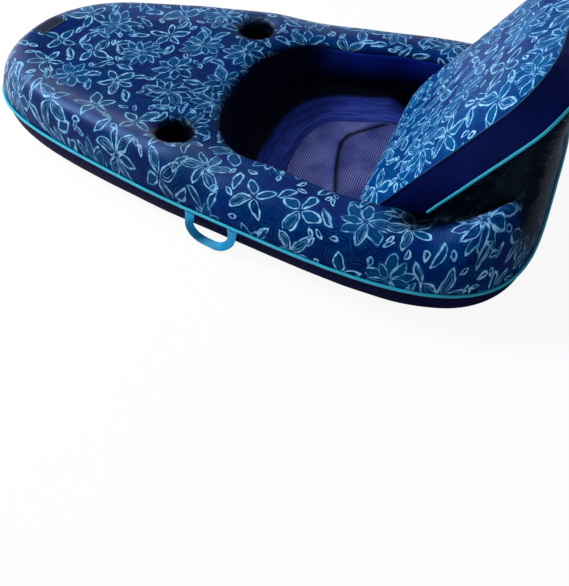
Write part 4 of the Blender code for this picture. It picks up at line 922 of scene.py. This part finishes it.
# Painted shade: the lining falls to near black towards the floor and towards the well's front.
set_tone(well_lining, SHADE,
         lambda x, y, z: 0.04 + 0.96 * smooth((z - 0.090) / 0.09) * smooth((x - 0.02) / 0.20))
finish_padded(well_lining, "well_polyester", "well_wall")

order = sorted(np.nonzero(edge_x > RISER_FACE_X + 0.05)[0], key=lambda i: ANGLES[i])
riser = world[order]
riser = riser + np.array(-FACING) * (0.6 * MM + 0.5 * MM * wander(riser, 0.09, 3.0))[..., None]
riser_lining = grid_mesh("riser_lining", riser, riser, False, NAVY)
finish_padded(riser_lining, "navy_polyester", "riser_panel")

# %% Underside
world, flat = ring_points(2)
normal = normals_of(world, closed=True)
lifted = smooth(world[..., 2] / 0.03)
swell = (1.6 * MM * wander(world, 0.09, 6.1) + seam_gathers(world, -1, 1.5 * MM, 0.028)) * lifted
world = world + normal * swell[..., None]
underside = grid_mesh("ring_underside", world, flat, True, NAVY)
finish_padded(underside, "navy_polyester", "bottom_cover")

# %% [markdown]
# ## Inner chambers
# Under the cover lie four welded chambers of thin vinyl. They follow the cover a little further in, and the
# deck's chamber has a pocket for each cup. A chamber is a loft of inset sections that is closed at both ends.

# %% Inner chambers
CHAMBER_INSET, VINYL_SHEET = 6 * MM, 0.6 * MM


def inset(points, distance, steps=12):
    """Closed outline drawn in along its normals, in small steps that keep it free of loops."""
    turn = np.sign(np.sum(points[:, 0] * np.roll(points[:, 1], -1) - np.roll(points[:, 0], -1) * points[:, 1]))
    for _ in range(steps):
        along = np.roll(points, -1, axis=0) - np.roll(points, 1, axis=0)
        inward = turn * np.stack([-along[:, 1], along[:, 0]], axis=1)
        points = points + inward * distance / steps / np.linalg.norm(along, axis=1)[:, None].clip(1e-9)
        points = 0.5 * points + 0.25 * (np.roll(points, 1, axis=0) + np.roll(points, -1, axis=0))
    return points


def chamber(name, first, last):
    """Thin closed skin between two bearings, in degrees round the ring from the head."""
    chosen = [i for i in range(0, len(ANGLES), 3) if first < math.degrees(ANGLES[i]) % 360 < last
              or first < math.degrees(ANGLES[i]) % 360 - 360 < last]
    chosen.sort(key=lambda i: (math.degrees(ANGLES[i]) - first) % 360)
    rings = []
    for i in chosen:
        top, wall, under = SECTIONS[i]
        outline = np.concatenate([top[1:-1:3], wall[:-1:4], under[1:-1:3]])
        rings.append(at_bearing(ANGLES[i], *inset(outline, 2 * CHAMBER_INSET).T))
    world = np.array(rings)
    faces = grid_faces(*world.shape[:2], closed_columns=True).tolist() + end_caps(*world.shape[:2])
    return face_outwards(make_mesh(name, world, faces, world, BLADDER))


def cut_away(body, **cone):
    """Takes a cone or cylinder out of a closed body."""
    bpy.ops.object.select_all(action="DESELECT")
    bpy.ops.mesh.primitive_cone_add(vertices=48, **cone)
    cutter = bpy.context.object
    apply(body, "BOOLEAN", operation="DIFFERENCE", solver="EXACT", object=cutter)
    bpy.data.objects.remove(cutter, do_unlink=True)


CHAMBER_BEARINGS = {"deck": (122, 238), "far_side": (23, 121), "near_side": (239, 337), "rear": (-22, 22)}
for part, (first, last) in CHAMBER_BEARINGS.items():
    body = chamber(part + "_chamber", first, last)
    if part == "deck":
        for side in (1, -1):
            cut_away(body, radius1=0.0475, radius2=0.0680, depth=0.20,
                     location=(CUP_X + SHIFT, side * CUP_Y, 0.208))
    apply(body, "SOLIDIFY", thickness=VINYL_SHEET, offset=-1.0)
    dress(body, "root", "bladder_vinyl", part + "_bladder")
    print(body.name, len(body.data.polygons))

# %% [markdown]
# ## Seat
# The seat is a sling of open knit, sewn to the foot of the well's lining all round. It climbs from the flat
# middle to the lining, with a few long folds beside the seam, and a crease crosses it where it was folded.

# %% Seat net
BORDER_SHARES, BORDER_RISES = (0.72, 0.79, 0.86, 0.93, 1.0), (0.0, 0.07, 0.27, 0.60, 1.0)
NET_EDGE_SHARE = 0.72


def sling_height(x, share):
    """Height of the sling's middle at a share of the way from the well's middle to its wall."""
    fade = smooth((PANEL_BASE_X - x) / 0.075)
    bent = np.interp(share, np.linspace(NET_EDGE_SHARE, 1, 60),
                     np.interp(np.linspace(NET_EDGE_SHARE, 1, 60), BORDER_SHARES, BORDER_RISES))
    return SLING_RISE * fade * bent


def seam_share(angle):
    """Share of the way outward at which the border is sewn to the middle's net."""
    return 0.60 + 0.07 * math.sin(angle) ** 2


def sling_points(shares_of):
    """Grid of the sling's points and their shares: a row for each ray, a column for each step outward."""
    rows, shares = [], []
    for angle in ANGLES:
        edge, floor = np.interp(abs(angle), *WELL_POLAR), np.interp(abs(angle), *FLOOR_POLAR)
        foot = wall_distance(angle, 0.0, edge, floor)
        level = float(sling_height(EYE_X + foot * math.cos(angle), 1.0))
        reach = min(wall_distance(angle, level, edge, floor), wall_distance(angle, level + SLING, edge, floor))
        share = shares_of(seam_share(angle))
        distance = (reach - 0.8 * MM) * share
        height = sling_height(EYE_X + distance * math.cos(angle), share) + SLING * 0.6
        rows.append(at_bearing(angle, distance, height))
        shares.append((share - seam_share(angle)) / (1 - seam_share(angle)))
    return np.array(rows), np.array(shares)


CREASE = np.array([(0.280, -0.160), (0.262, -0.109), (0.240, -0.04), (0.223, 0.026), (0.213, 0.082),
                   (0.222, 0.124), (0.248, 0.157), (0.285, 0.195), (0.322, 0.233)]) - np.array([SHIFT, 0])


def distance_to_line(points, line):
    """Distance in plan from each point to a broken line."""
    best = np.full(points.shape[:-1], 9.0)
    for start, end in zip(line, line[1:]):
        run = end - start
        share = np.clip(((points[..., :2] - start) @ run) / (run @ run), 0, 1)
        near = start + share[..., None] * run
        best = np.minimum(best, np.linalg.norm(points[..., :2] - near, axis=-1))
    return best


def bump(value, middle, width):
    return np.exp(-((value - middle) / width) ** 2)


def folds_of(points, out):
    """Height of the sling's folds. Out is 0 at the border's seam, 1 at the wall and below 0 on the middle."""
    side = wander(points, 0.10, 5.5)
    slow = out + 0.05 * wander(points, 0.22, 9.1)
    ridges = 3.0 * MM * bump(slow, 0.20, 0.045) - 3.2 * MM * bump(slow, 0.09, 0.05)
    for place, height in ((0.34, 1.6), (0.45, 1.9), (0.57, 1.5), (0.70, 1.0)):
        ridges = ridges + height * MM * bump(slow + 0.03 * side, place, 0.032)
    away = distance_to_line(points, CREASE)
    crease = 5.0 * MM * bump(away, 0, 0.030) - 7.0 * MM * bump(away, 0, 0.0052)
    fade = smooth((PANEL_BASE_X - 0.01 - points[..., 0]) / 0.05)
    return (ridges * (0.7 + 0.5 * side) + crease * smooth((0.25 - out) / 0.2)) * fade


for name, shares_of, finish, node, slot in (
        ("seat_border_net", lambda seam: np.linspace(1.0, seam, 64), BORDER, "seat_border", "border_net"),
        ("seat_net", lambda seam: np.linspace(seam - 0.001, 0.02, 84), NET, "seat_mesh", "seat_net")):
    points, out = sling_points(shares_of)
    lift = folds_of(points, out)
    points[..., 2] = np.maximum(points[..., 2] + lift, 0.9 * MM)
    faces = grid_faces(*points.shape[:2], closed_rows=True).tolist()
    if node == "seat_mesh":
        count = points.shape[1]
        faces.append([count * i + count - 1 for i in range(len(ANGLES))])
        cut = points * np.array([1, 1, 0])
        away = distance_to_line(points, CREASE)
        # Painted shade along the crease on the net's middle.
        shade = 1 - 0.84 * bump(away, 0, 0.0105) * smooth(-out / 0.04)
    else:
        bearing = np.unwrap(ANGLES)[:, None] + 0 * out
        cut = np.stack([out * 0.13, bearing * 0.30, 0 * out], axis=2)
        # Painted shade: the border falls to near black towards the wall, and darkens a little beside its seam
        # with the net.
        shade = 0.02 + 0.98 * smooth((0.76 + 0.10 * np.abs(np.sin(ANGLES))[:, None] - out) / 0.13)
        shade = shade * (1 - 0.45 * bump(out, 0.06, 0.07))
    net = make_mesh(name, points, faces, cut, finish)
    net.data.attributes[SHADE].data.foreach_set("value", shade.reshape(-1).astype(np.float32))
    apply(net, "SOLIDIFY", thickness=0.7 * MM, offset=0.0)
    dress(net, "root", slot, node)
    across, down = np.ptp(points[:, 0, 1]), np.ptp(points[:, 0, 0])

# %% [markdown]
# ## Backrest
# The backrest's cover is sewn from a front panel and a side band. Its swell comes from a cloth simulation: a
# closed bag with a little too much cloth is blown up, while its two seams and its back are held. Near the seams
# that gives the small pleats that an inflated cushion has.

# %% Backrest bag
across = SLOPE.cross(FACING)
SLAB = Matrix((across, SLOPE, FACING)).transposed().to_4x4()
SLAB.translation = BACK_BASE + Vector((SHIFT, 0, 0))
SQUARE_STEPS, SIDE_STEPS = 60, 9


def slab_outline(margin, count):
    """Points of the backrest's outline in its own frame, even steps from the middle of its base, inset."""
    half, points = BACKREST_WIDTH / 2, []
    corners = ((half, 0, BASE_CORNER, -90), (half, BACKREST_LENGTH, TOP_CORNER, 0),
               (-half, BACKREST_LENGTH, TOP_CORNER, 90), (-half, 0, BASE_CORNER, 180))
    points.append((0.0, margin))
    for x, y, radius, start in corners:
        centre = (x - math.copysign(radius, x), y - radius if y else radius)
        for step in range(41):
            turn = math.radians(start + 90 * step / 40)
            points.append((centre[0] + (radius - margin) * math.cos(turn),
                           centre[1] + (radius - margin) * math.sin(turn)))
    points.append((0.0, margin))
    points = np.array(points)
    run = run_along(points)
    stops = np.linspace(0, run[-1], count + 1)[:-1]
    return np.stack([np.interp(stops, run, points[:, 0]), np.interp(stops, run, points[:, 1])], axis=1)


def crown(share):
    return BACKREST_CROWN * (1 - share ** 5) ** 0.75


def on_slab(points):
    """Places about the ring's middle of points that are given in the backrest's own frame."""
    turn = SLAB.to_3x3()
    return np.array([turn @ Vector(p) for p in points]) + np.array(BACK_BASE)


def bag(margin, back, front):
    """Closed slab: its points in its own frame and in place, faces, their kinds, cloth places and side rows."""
    n, count = SQUARE_STEPS, 4 * SQUARE_STEPS
    outline = slab_outline(margin, count)
    rim = [(i, 0) for i in range(n // 2, n)] + [(n, j) for j in range(n)] + [(i, n) for i in range(n, 0, -1)]
    rim += [(0, j) for j in range(n, 0, -1)] + [(i, 0) for i in range(n // 2)]
    place_on_rim = {spot: k for k, spot in enumerate(rim)}
    centre = np.array([0.0, BACKREST_LENGTH / 2])

    def face_point(i, j):
        """Point of the square grid, carried to the outline's shape."""
        u, v = 2 * i / n - 1, 2 * j / n - 1
        share = max(abs(u), abs(v))
        if share == 0:
            return centre, 0.0
        a, b = (u / share + 1) * n / 2, (v / share + 1) * n / 2
        if abs(v) >= abs(u):
            low_i, part = int(math.floor(a)), a - math.floor(a)
            row = 0 if v < 0 else n
            k0, k1 = place_on_rim[(min(low_i, n), row)], place_on_rim[(min(low_i + 1, n), row)]
        else:
            low_j, part = int(math.floor(b)), b - math.floor(b)
            column = 0 if u < 0 else n
            k0, k1 = place_on_rim[(column, min(low_j, n))], place_on_rim[(column, min(low_j + 1, n))]
        return centre + (mix(outline[k0], outline[k1], part) - centre) * share, share

    points, cloth = [], []
    index = {}
    for i in range(n + 1):
        for j in range(n + 1):
            (x, y), share = face_point(i, j)
            index["front", i, j] = len(points)
            points.append((x, y, front + crown(share)))
            cloth.append((y, -x, 0.0))
    for i in range(n + 1):
        for j in range(n + 1):
            if (i, j) not in place_on_rim:
                (x, y), share = face_point(i, j)
                index["back", i, j] = len(points)
                points.append((x, y, back))
                cloth.append((y, -x, 0.0))
    rows = [[index["front", i, j] for i, j in rim]]
    for step in range(1, SIDE_STEPS + 1):
        row = []
        for k, (x, y) in enumerate(outline):
            row.append(len(points))
            points.append((x, y, mix(front, back, step / SIDE_STEPS)))
            cloth.append((k * 0.0115, step * 0.011, 0.0))
        rows.append(row)
    for k, spot in enumerate(rim):
        index[("back", *spot)] = rows[-1][k]
    faces, kinds = [], []
    for i in range(n):
        for j in range(n):
            corners = [(i, j), (i + 1, j), (i + 1, j + 1), (i, j + 1)]
            faces.append([index[("front", *c)] for c in corners])
            faces.append([index[("back", *c)] for c in corners][::-1])
            kinds += ["front", "back"]
    for one, other in zip(rows, rows[1:]):
        for k in range(count):
            after = (k + 1) % count
            faces.append([one[k], other[k], other[after], one[after]])
            kinds.append("side")
    return np.array(points), on_slab(points), faces, kinds, np.array(cloth), rows


local, world, faces, kinds, cloth, rows = bag(0.5 * MM, 1.5 * MM, BACKREST_DEPTH - 1.0 * MM)
bag_body = make_mesh("backrest_bag", world, faces, cloth, BACKREST_LIT_PRINT)
pinned = set(rows[0]) | set(rows[-1]) | {i for f, k in zip(faces, kinds) if k == "back" for i in f}
VALVE_PLACE = np.array([-BACKREST_WIDTH / 2, 0.43, BACKREST_DEPTH / 2])
pinned |= set(np.nonzero(np.linalg.norm(local - VALVE_PLACE, axis=1) < 0.040)[0].tolist())
print("bag points:", len(local), "held:", len(pinned))

# %% Blow it up
SIMULATED_FRAMES, MOST_MOVE = 20, 14 * MM
group = bag_body.vertex_groups.new(name="held")
group.add([int(i) for i in pinned], 1.0, "REPLACE")
before = np.array([v.co[:] for v in bag_body.data.vertices])
cloth_modifier = bag_body.modifiers.new("Cloth", "CLOTH")
settings = cloth_modifier.settings
settings.quality = 6
settings.mass = 0.25
settings.tension_stiffness = settings.compression_stiffness = 25
settings.shear_stiffness = 15
settings.bending_stiffness = 0.6
settings.shrink_min = -0.012
settings.vertex_group_mass = "held"
settings.use_pressure = True
settings.uniform_pressure_force = 4.0
settings.effector_weights.gravity = 0.0
cloth_modifier.collision_settings.use_collision = False
cloth_modifier.point_cache.frame_start, cloth_modifier.point_cache.frame_end = 1, SIMULATED_FRAMES
for number in range(1, SIMULATED_FRAMES + 1):
    bpy.context.scene.frame_set(number)
pick(bag_body)
bpy.ops.object.modifier_apply(modifier="Cloth")
bpy.context.scene.frame_set(1)
after = np.array([v.co[:] for v in bag_body.data.vertices])
moved = after - before
length = np.linalg.norm(moved, axis=1)
moved *= np.minimum(1, MOST_MOVE / np.maximum(length, 1e-9))[:, None]
bag_body.data.vertices.foreach_set("co", (before + moved).reshape(-1))
bag_body.data.update()
print("swell, mean and most:", length.mean(), length.max())

# %% [markdown]
# The bag is then cut along its seams into the front panel and the side band with its back. Seen from the frame
# of the slab, a point's distance from the middle says how far the band may swell, so that it stays clear of the
# side tubes.

# %% Panel and band
into_slab = SLAB.inverted()
for v in bag_body.data.vertices:
    p = into_slab @ v.co
    limit = BACKREST_WIDTH / 2 + SIDE_CLEARANCE - 2 * MM
    p.x = max(-limit, min(limit, p.x))
    p.z = max(p.z, 0.8 * MM)
    v.co = SLAB @ p


def part_of_bag(name, wanted, finish):
    """Copy of the bag that keeps only faces of the wanted kinds."""
    made = bag_body.copy()
    made.data = bag_body.data.copy()
    made.name = made.data.name = name
    bpy.context.collection.objects.link(made)
    with open_mesh(made) as shape:
        unwanted = [f for f in shape.faces if kinds[f.index] not in wanted]
        bmesh.ops.delete(shape, geom=unwanted, context="FACES")
    made.data.materials.clear()
    made.data.materials.append(finish)
    apply(made, "SUBSURF", levels=1)
    return made


backrest_front = part_of_bag("backrest_front", ("front",), BACKREST_LIT_PRINT)
backrest_side = part_of_bag("backrest_side", ("side", "back"), GUSSET)
with open_mesh(backrest_side) as shape:
    cut_valve_hole(shape, SLAB @ Vector(VALVE_PLACE.tolist()), Vector((0, 1, 0)))
for body, slot, node in ((backrest_front, "printed_polyester", "backrest_panel"),
                         (backrest_side, "navy_polyester", "backrest_gusset")):
    finish_padded(body, slot, node)
bpy.data.objects.remove(bag_body, do_unlink=True)

_, world, faces, _, cloth, _ = bag(CHAMBER_INSET, CHAMBER_INSET, BACKREST_DEPTH - CHAMBER_INSET)
backrest_chamber = make_mesh("backrest_chamber", world, faces, cloth, BLADDER)
apply(backrest_chamber, "SOLIDIFY", thickness=VINYL_SHEET, offset=-1.0)
dress(backrest_chamber, "root", "bladder_vinyl", "backrest_bladder")

# %% [markdown]
# ## Piping
# A cord in a cloth sleeve is sewn into each seam. Its section is round with a short tail on the side of the
# seam, and it wavers a little, as sewn cord does.

# %% Piping
CORD_SIDES = 12


def cord(name, path, outward, closed, finish, tail=5 * MM, radius=PIPING_RADIUS):
    """Cord along points, whose sections have a tail that points away from the outward directions."""
    path, outward = np.asarray(path, float), np.asarray(outward, float)
    along = np.roll(path, -1, axis=0) - np.roll(path, 1, axis=0) if closed else np.gradient(path, axis=0)
    along /= np.linalg.norm(along, axis=1)[:, None]
    outward = outward - along * np.sum(outward * along, axis=1)[:, None]
    outward /= np.linalg.norm(outward, axis=1)[:, None]
    rise = np.cross(along, outward)
    run = run_along(path)
    waver = 0.35 * MM * np.array([noise.noise(Vector((s * 30, 1.3, 0))) for s in run])
    rings, cloths = [], []
    for k in range(CORD_SIDES):
        turn = 2 * math.pi * k / CORD_SIDES
        reach = radius + (tail if k == CORD_SIDES // 2 else 0)
        out, up = reach * math.cos(turn), radius * math.sin(turn)
        rings.append(path + outward * (out + waver)[:, None] + rise * (up + waver)[:, None])
        cloths.append(np.stack([run, np.full(len(run), turn * radius), 0 * run], axis=1))
    points, cut = np.stack(rings, axis=1), np.stack(cloths, axis=1)
    faces = grid_faces(*points.shape[:2], closed_rows=closed, closed_columns=True)[:, ::-1].tolist()
    if not closed:
        faces += end_caps(*points.shape[:2])
    closing = np.linalg.norm(path[0] - path[-1]) if closed else 0
    print(name, "length:", round(float(run[-1] + closing), 3))
    return make_mesh(name, points, faces, cut, finish)


def round_backrest(margin, level, count, lowest=-1.0):
    """Path round the backrest at a height over its back, above a place along it, and the ways out from it."""
    path = on_slab([(x, y, level) for x, y in slab_outline(margin, count) if y > lowest])
    out = np.cross(np.gradient(path, axis=0), np.array(FACING))
    out *= np.sign(np.sum(out * (path - on_slab([(0, BACKREST_LENGTH / 2, level)])), axis=1))[:, None]
    return path, out


seam = ring_points(0)[0][:, 0]
run = np.roll(seam, -1, axis=0) - np.roll(seam, 1, axis=0)
out = np.stack([run[:, 1], -run[:, 0], 0 * run[:, 0]], axis=1)
out /= np.linalg.norm(out, axis=1)[:, None]
seam_cord = cord("ring_piping", seam + out * (PIPING_RADIUS + 0.3 * MM), out, True, CORD_CLOTH)
dress(seam_cord, "root", "cyan_piping", "seam_piping")

start = (SIDE_HEIGHT - 4 * MM - BACK_BASE.z) / SLOPE.z
path, out = round_backrest(-PIPING_RADIUS - 0.3 * MM, PIPING_RADIUS + 2.3 * MM, 900, start)
back_cord = cord("backrest_cord", path, out, False, CORD_CLOTH)
dress(back_cord, "root", "cyan_piping", "backrest_piping")

# %% [markdown]
# The panel's own seam has a thin welt in a darker cloth. Beside the backrest, a short length of piping closes
# the end of the well's edge on each side, and both its ends dive between the two cloths.

# %% Welt and edge piping
WELT_RADIUS = 1.8 * MM
path, out = round_backrest(-0.4 * MM, BACKREST_DEPTH - 1.0 * MM, 700)
welt = cord("backrest_welt", path, out, True, WELT, tail=2 * MM, radius=WELT_RADIUS)
dress(welt, "root", "navy_polyester")

EDGE_MIDDLE, EDGE_REACH, EDGE_RISE = (0.532, 0.3532, 0.171), 0.030, 0.018
turns = np.linspace(0, math.pi, 25)
for side_name, side in (("far", 1), ("near", -1)):
    x, y, z = EDGE_MIDDLE
    path = np.stack([x - EDGE_REACH * np.cos(turns), 0 * turns + side * y, z + EDGE_RISE * np.sin(turns) ** 0.5],
                    axis=1)
    tab = cord("edge_piping_" + side_name, path, np.array([[0, -side, 0.4]] * len(turns)), False, CORD_CLOTH,
               tail=0, radius=2.6 * MM)
    dress(tab, "root", "cyan_piping")

# %% [markdown]
# ## Cup liners
# Each cup is a moulded vinyl beaker with a rolled rim, held below the cloth's lip. It starts as a cone, loses
# its upper face, gets a rounded foot and then a wall.

# %% Cup liners
LINER_DROP, LINER_BASE, LINER_TOP, CUP_DEPTH = 0.025, 0.0440, 0.0488, 0.098
base_z, top_z = DECK_HEIGHT - CUP_DEPTH, DECK_HEIGHT - LINER_DROP
for side_name, side in (("far", 1), ("near", -1)):
    bpy.ops.object.select_all(action="DESELECT")
    bpy.ops.mesh.primitive_cone_add(vertices=96, radius1=LINER_BASE, radius2=LINER_TOP, depth=top_z - base_z,
                                    location=(CUP_X + SHIFT, side * CUP_Y, (top_z + base_z) / 2))
    cup = bpy.context.object
    cup.name = side_name + "_cup"
    bpy.ops.object.transform_apply(location=True, rotation=True, scale=True)
    with open_mesh(cup) as shape:
        bmesh.ops.delete(shape, geom=[f for f in shape.faces if f.normal.z > 0.9], context="FACES")
        foot = [e for e in shape.edges if all(v.co.z < base_z + 1 * MM for v in e.verts)]
        bmesh.ops.bevel(shape, geom=foot, offset=7 * MM, segments=5, profile=0.5, affect="EDGES")
    apply(cup, "SOLIDIFY", thickness=1.6 * MM, offset=1.0)
    apply(cup, "BEVEL", width=0.6 * MM, segments=2, limit_method="ANGLE", angle_limit=math.radians(50))
    cup.data.materials.clear()
    cup.data.materials.append(CUP)
    cup.data.shade_smooth()
    dress(cup, "root", "cup_vinyl", side_name + "_cup_liner")

# %% [markdown]
# ## Handles
# A handle is one strip of webbing. Both of its ends are sewn flat into the seam, so the strip turns a quarter
# on its way down, and at the bottom of the loop its width points outward.

# %% Handles
HANDLE_SPAN, HANDLE_DROP, STRAP_WIDTH, STRAP_THICKNESS, HANDLE_ROUNDNESS = 0.164, 0.079, 0.022, 0.0020, 2.6


def strap(name, side, finish):
    """Twisted webbing loop below the seam, given about the middle of the line that it swings on."""
    x = WELL_FRONT_X + 0.142
    lean = (half_width(x + HANDLE_SPAN / 2) - half_width(x - HANDLE_SPAN / 2)) / HANDLE_SPAN
    along = np.array([1, side * lean, 0])
    along /= np.linalg.norm(along)
    out = np.array([-along[1], along[0], 0]) * side
    down = np.array([0, 0, -1.0])
    sag = max(half_width(x) - (half_width(x + s * HANDLE_SPAN / 2) + half_width(x - s * HANDLE_SPAN / 2)) / 2
              for s in (0.5, 1))
    seat = np.array([x, side * half_width(x), SEAM_HEIGHT]) + out * (max(sag, 0) / 2 + PIPING_RADIUS + 0.3 * MM)
    seat[2] = SEAM_HEIGHT - PIPING_RADIUS - STRAP_THICKNESS / 2 - 0.6 * MM
    half = (HANDLE_SPAN - STRAP_WIDTH) / 2
    turns = np.linspace(0, math.pi, 121)
    power = 2 / HANDLE_ROUNDNESS
    reach = np.sign(np.cos(turns)) * np.abs(np.cos(turns)) ** power
    drop = np.sin(turns) ** power
    drop[[0, -1]] = 0
    path = along * (half * reach)[:, None] + down * (HANDLE_DROP * drop)[:, None]
    run = run_along(path)
    even = np.linspace(0, run[-1], 121)
    path = np.stack([np.interp(even, run, path[:, k]) for k in range(3)], axis=1)
    share = even / run[-1]
    tangent = np.gradient(path, axis=0)
    tangent /= np.linalg.norm(tangent, axis=1)[:, None]
    twist = (smooth((share - 0.22) / 0.26) - smooth((share - 0.80) / 0.17)) * math.radians(74)
    plane = np.cross(out, tangent)
    width = plane * np.cos(twist)[:, None] + out * np.sin(twist)[:, None]
    path = path + out * (STRAP_WIDTH * 0.40 * np.sin(twist))[:, None] + down * 1.4 * MM
    path = path + out * (2.2 * MM * np.sin(share * 9) * np.sin(twist))[:, None]
    thin = np.cross(tangent, width)
    rows, cuts = [], []
    profile = [(-1, -0.7), (-0.96, -1), (-0.5, -1), (0, -1), (0.5, -1), (0.96, -1), (1, -0.7),
               (1, 0.7), (0.96, 1), (0.5, 1), (0, 1), (-0.5, 1), (-0.96, 1), (-1, 0.7)]
    flare = 1.12 + 0.34 * (1 - smooth(np.minimum(share, 1 - share) / 0.13))
    for w, t in profile:
        rows.append(path + width * (w * flare * STRAP_WIDTH / 2)[:, None] + thin * t * STRAP_THICKNESS / 2)
        cuts.append(np.stack([even, np.full(len(even), w * STRAP_WIDTH / 2), 0 * even], axis=1))
    points = np.stack(rows, axis=1) + seat
    faces = grid_faces(*points.shape[:2], closed_columns=True).tolist() + end_caps(*points.shape[:2])
    print(name, "length:", round(float(run[-1]), 3))
    return face_outwards(make_mesh(name, points, faces, np.stack(cuts, axis=1), finish))


for side_name, side in (("far", 1), ("near", -1)):
    body = strap(side_name + "_strap", side, WEBBING)
    dress(body, side_name + "_handle", "cyan_webbing", side_name + "_handle")

# %% [markdown]
# ## Patch
# A blank woven patch is sewn to the rim at the foot. Each of its points is dropped onto the cover, and its
# stitches are drawn along its edge.

# %% Patch
PATCH_LENGTH, PATCH_WIDTH, PATCH_PLACE, PATCH_RUN = 0.105, 0.056, (-0.816, 0.045), (0.214, 0.977)
patch_cloth, shader = new_material("patch_cloth", 0.7, 0.08)
spot = add("SeparateXYZ", add("Attribute", attribute_name=CLOTH).outputs["Vector"])
ends = add("ADD", add("ABSOLUTE", spot.outputs[0]), -PATCH_LENGTH / 2)
sides = add("ADD", add("ABSOLUTE", spot.outputs[1]), -PATCH_WIDTH / 2)
from_edge = add("ADD", add("MAXIMUM", ends, sides), 4 * MM)
dashes = add("SINE", add("MULTIPLY", add("ADD", *spot.outputs[:2]), FULL_TURN / (5 * MM)))
stitch = add("MULTIPLY", stroke(from_edge, 0.7 * MM, 0.3 * MM), add("MapRange", dashes, -0.3, 0.1))
twill = add("SINE", add("MULTIPLY", add("SUBTRACT", *spot.outputs[:2]), FULL_TURN / (2 * MM)))
ground = add("Mix", add("MapRange", twill, -1.0, 1.0), colour("#0c1226"), colour("#182238"), data_type="RGBA")
plug(shader, {"Base Color": add("Mix", stitch, ground, colour("#6c7c98"), data_type="RGBA")})
u, v = np.meshgrid(np.linspace(-0.5, 0.5, 41) * PATCH_LENGTH, np.linspace(-0.5, 0.5, 19) * PATCH_WIDTH,
                   indexing="ij")
run = np.array(PATCH_RUN)
spots = np.array(PATCH_PLACE) + u[..., None] * run + v[..., None] * np.array([-run[1], run[0]])
points = []
for x, y in spots.reshape(-1, 2):
    hit, place, normal, _ = top_cover.ray_cast(Vector((x, y, 1)), Vector((0, 0, -1)))
    points.append(place + normal * 0.9 * MM - Vector((SHIFT, 0, 0)))
patch = grid_mesh("blank_patch", np.array(points).reshape(*u.shape, 3), np.stack([u, v, 0 * u], axis=2), False,
                  patch_cloth)
apply(patch, "SOLIDIFY", thickness=0.7 * MM, offset=0.0)
dress(patch, "root", "navy_polyester")

# %% [markdown]
# ## Floor, light and background
# A pale floor and a white surround, one large soft lamp high on the foot side, as the highlight along the near
# tube shows, and a weak one from the near side.

# %% Stage
bpy.ops.object.select_all(action="DESELECT")
bpy.ops.mesh.primitive_plane_add(size=40, location=(0, 0, -0.5 * MM))
floor = bpy.context.object
floor.name = "floor"
paper, shader = new_material("floor_paper", 0.9, 0.0)
grain = add("TexNoise", {"Vector": add("TexCoord").outputs["Object"], "Scale": 3.0})
plug(shader, {"Base Color": add("MapRange", grain.outputs[0], 0.3, 0.7, 0.90, 0.93)})
seen = add("LightPath").outputs["Is Camera Ray"]
white = add("Emission", colour("#ffffff"), 1.0)
mostly_white = add("MixShader", add("MULTIPLY", seen, 0.92), shader, white)
plug(add.tree.nodes["Material Output"], {"Surface": mostly_white})
floor.data.materials.append(paper)


def area_lamp(name, place, aim, size, watts):
    lamp = bpy.data.objects.new(name, bpy.data.lights.new(name, "AREA"))
    bpy.context.collection.objects.link(lamp)
    lamp.location = place
    lamp.rotation_euler = (Vector(aim) - Vector(place)).to_track_quat("-Z", "Y").to_euler()
    lamp.data.size = size
    lamp.data.energy = watts
    return lamp


area_lamp("key_lamp", (-3.7, -0.7, 3.0), (0, 0, 0.2), 1.2, 222)
area_lamp("rim_lamp", (-3.2, 0.9, 4.2), (-0.3, -0.4, 0.2), 0.6, 80)
world_light = bpy.data.worlds.new("surround")
world_light.use_nodes = True
bpy.context.scene.world = world_light
add.tree = world_light.node_tree
ray = add("LightPath").outputs
seen = add("MAXIMUM", ray["Is Camera Ray"], ray["Is Glossy Ray"])
seen = add("MAXIMUM", seen, ray["Is Transmission Ray"])
plug(add.tree.nodes["Background"], {"Strength": add("MapRange", seen, 0.0, 1.0, 0.24, 1.0),
                                    "Color": colour("#ffffff")})

# %% Settings
bpy.context.scene.view_settings.view_transform = "Standard"
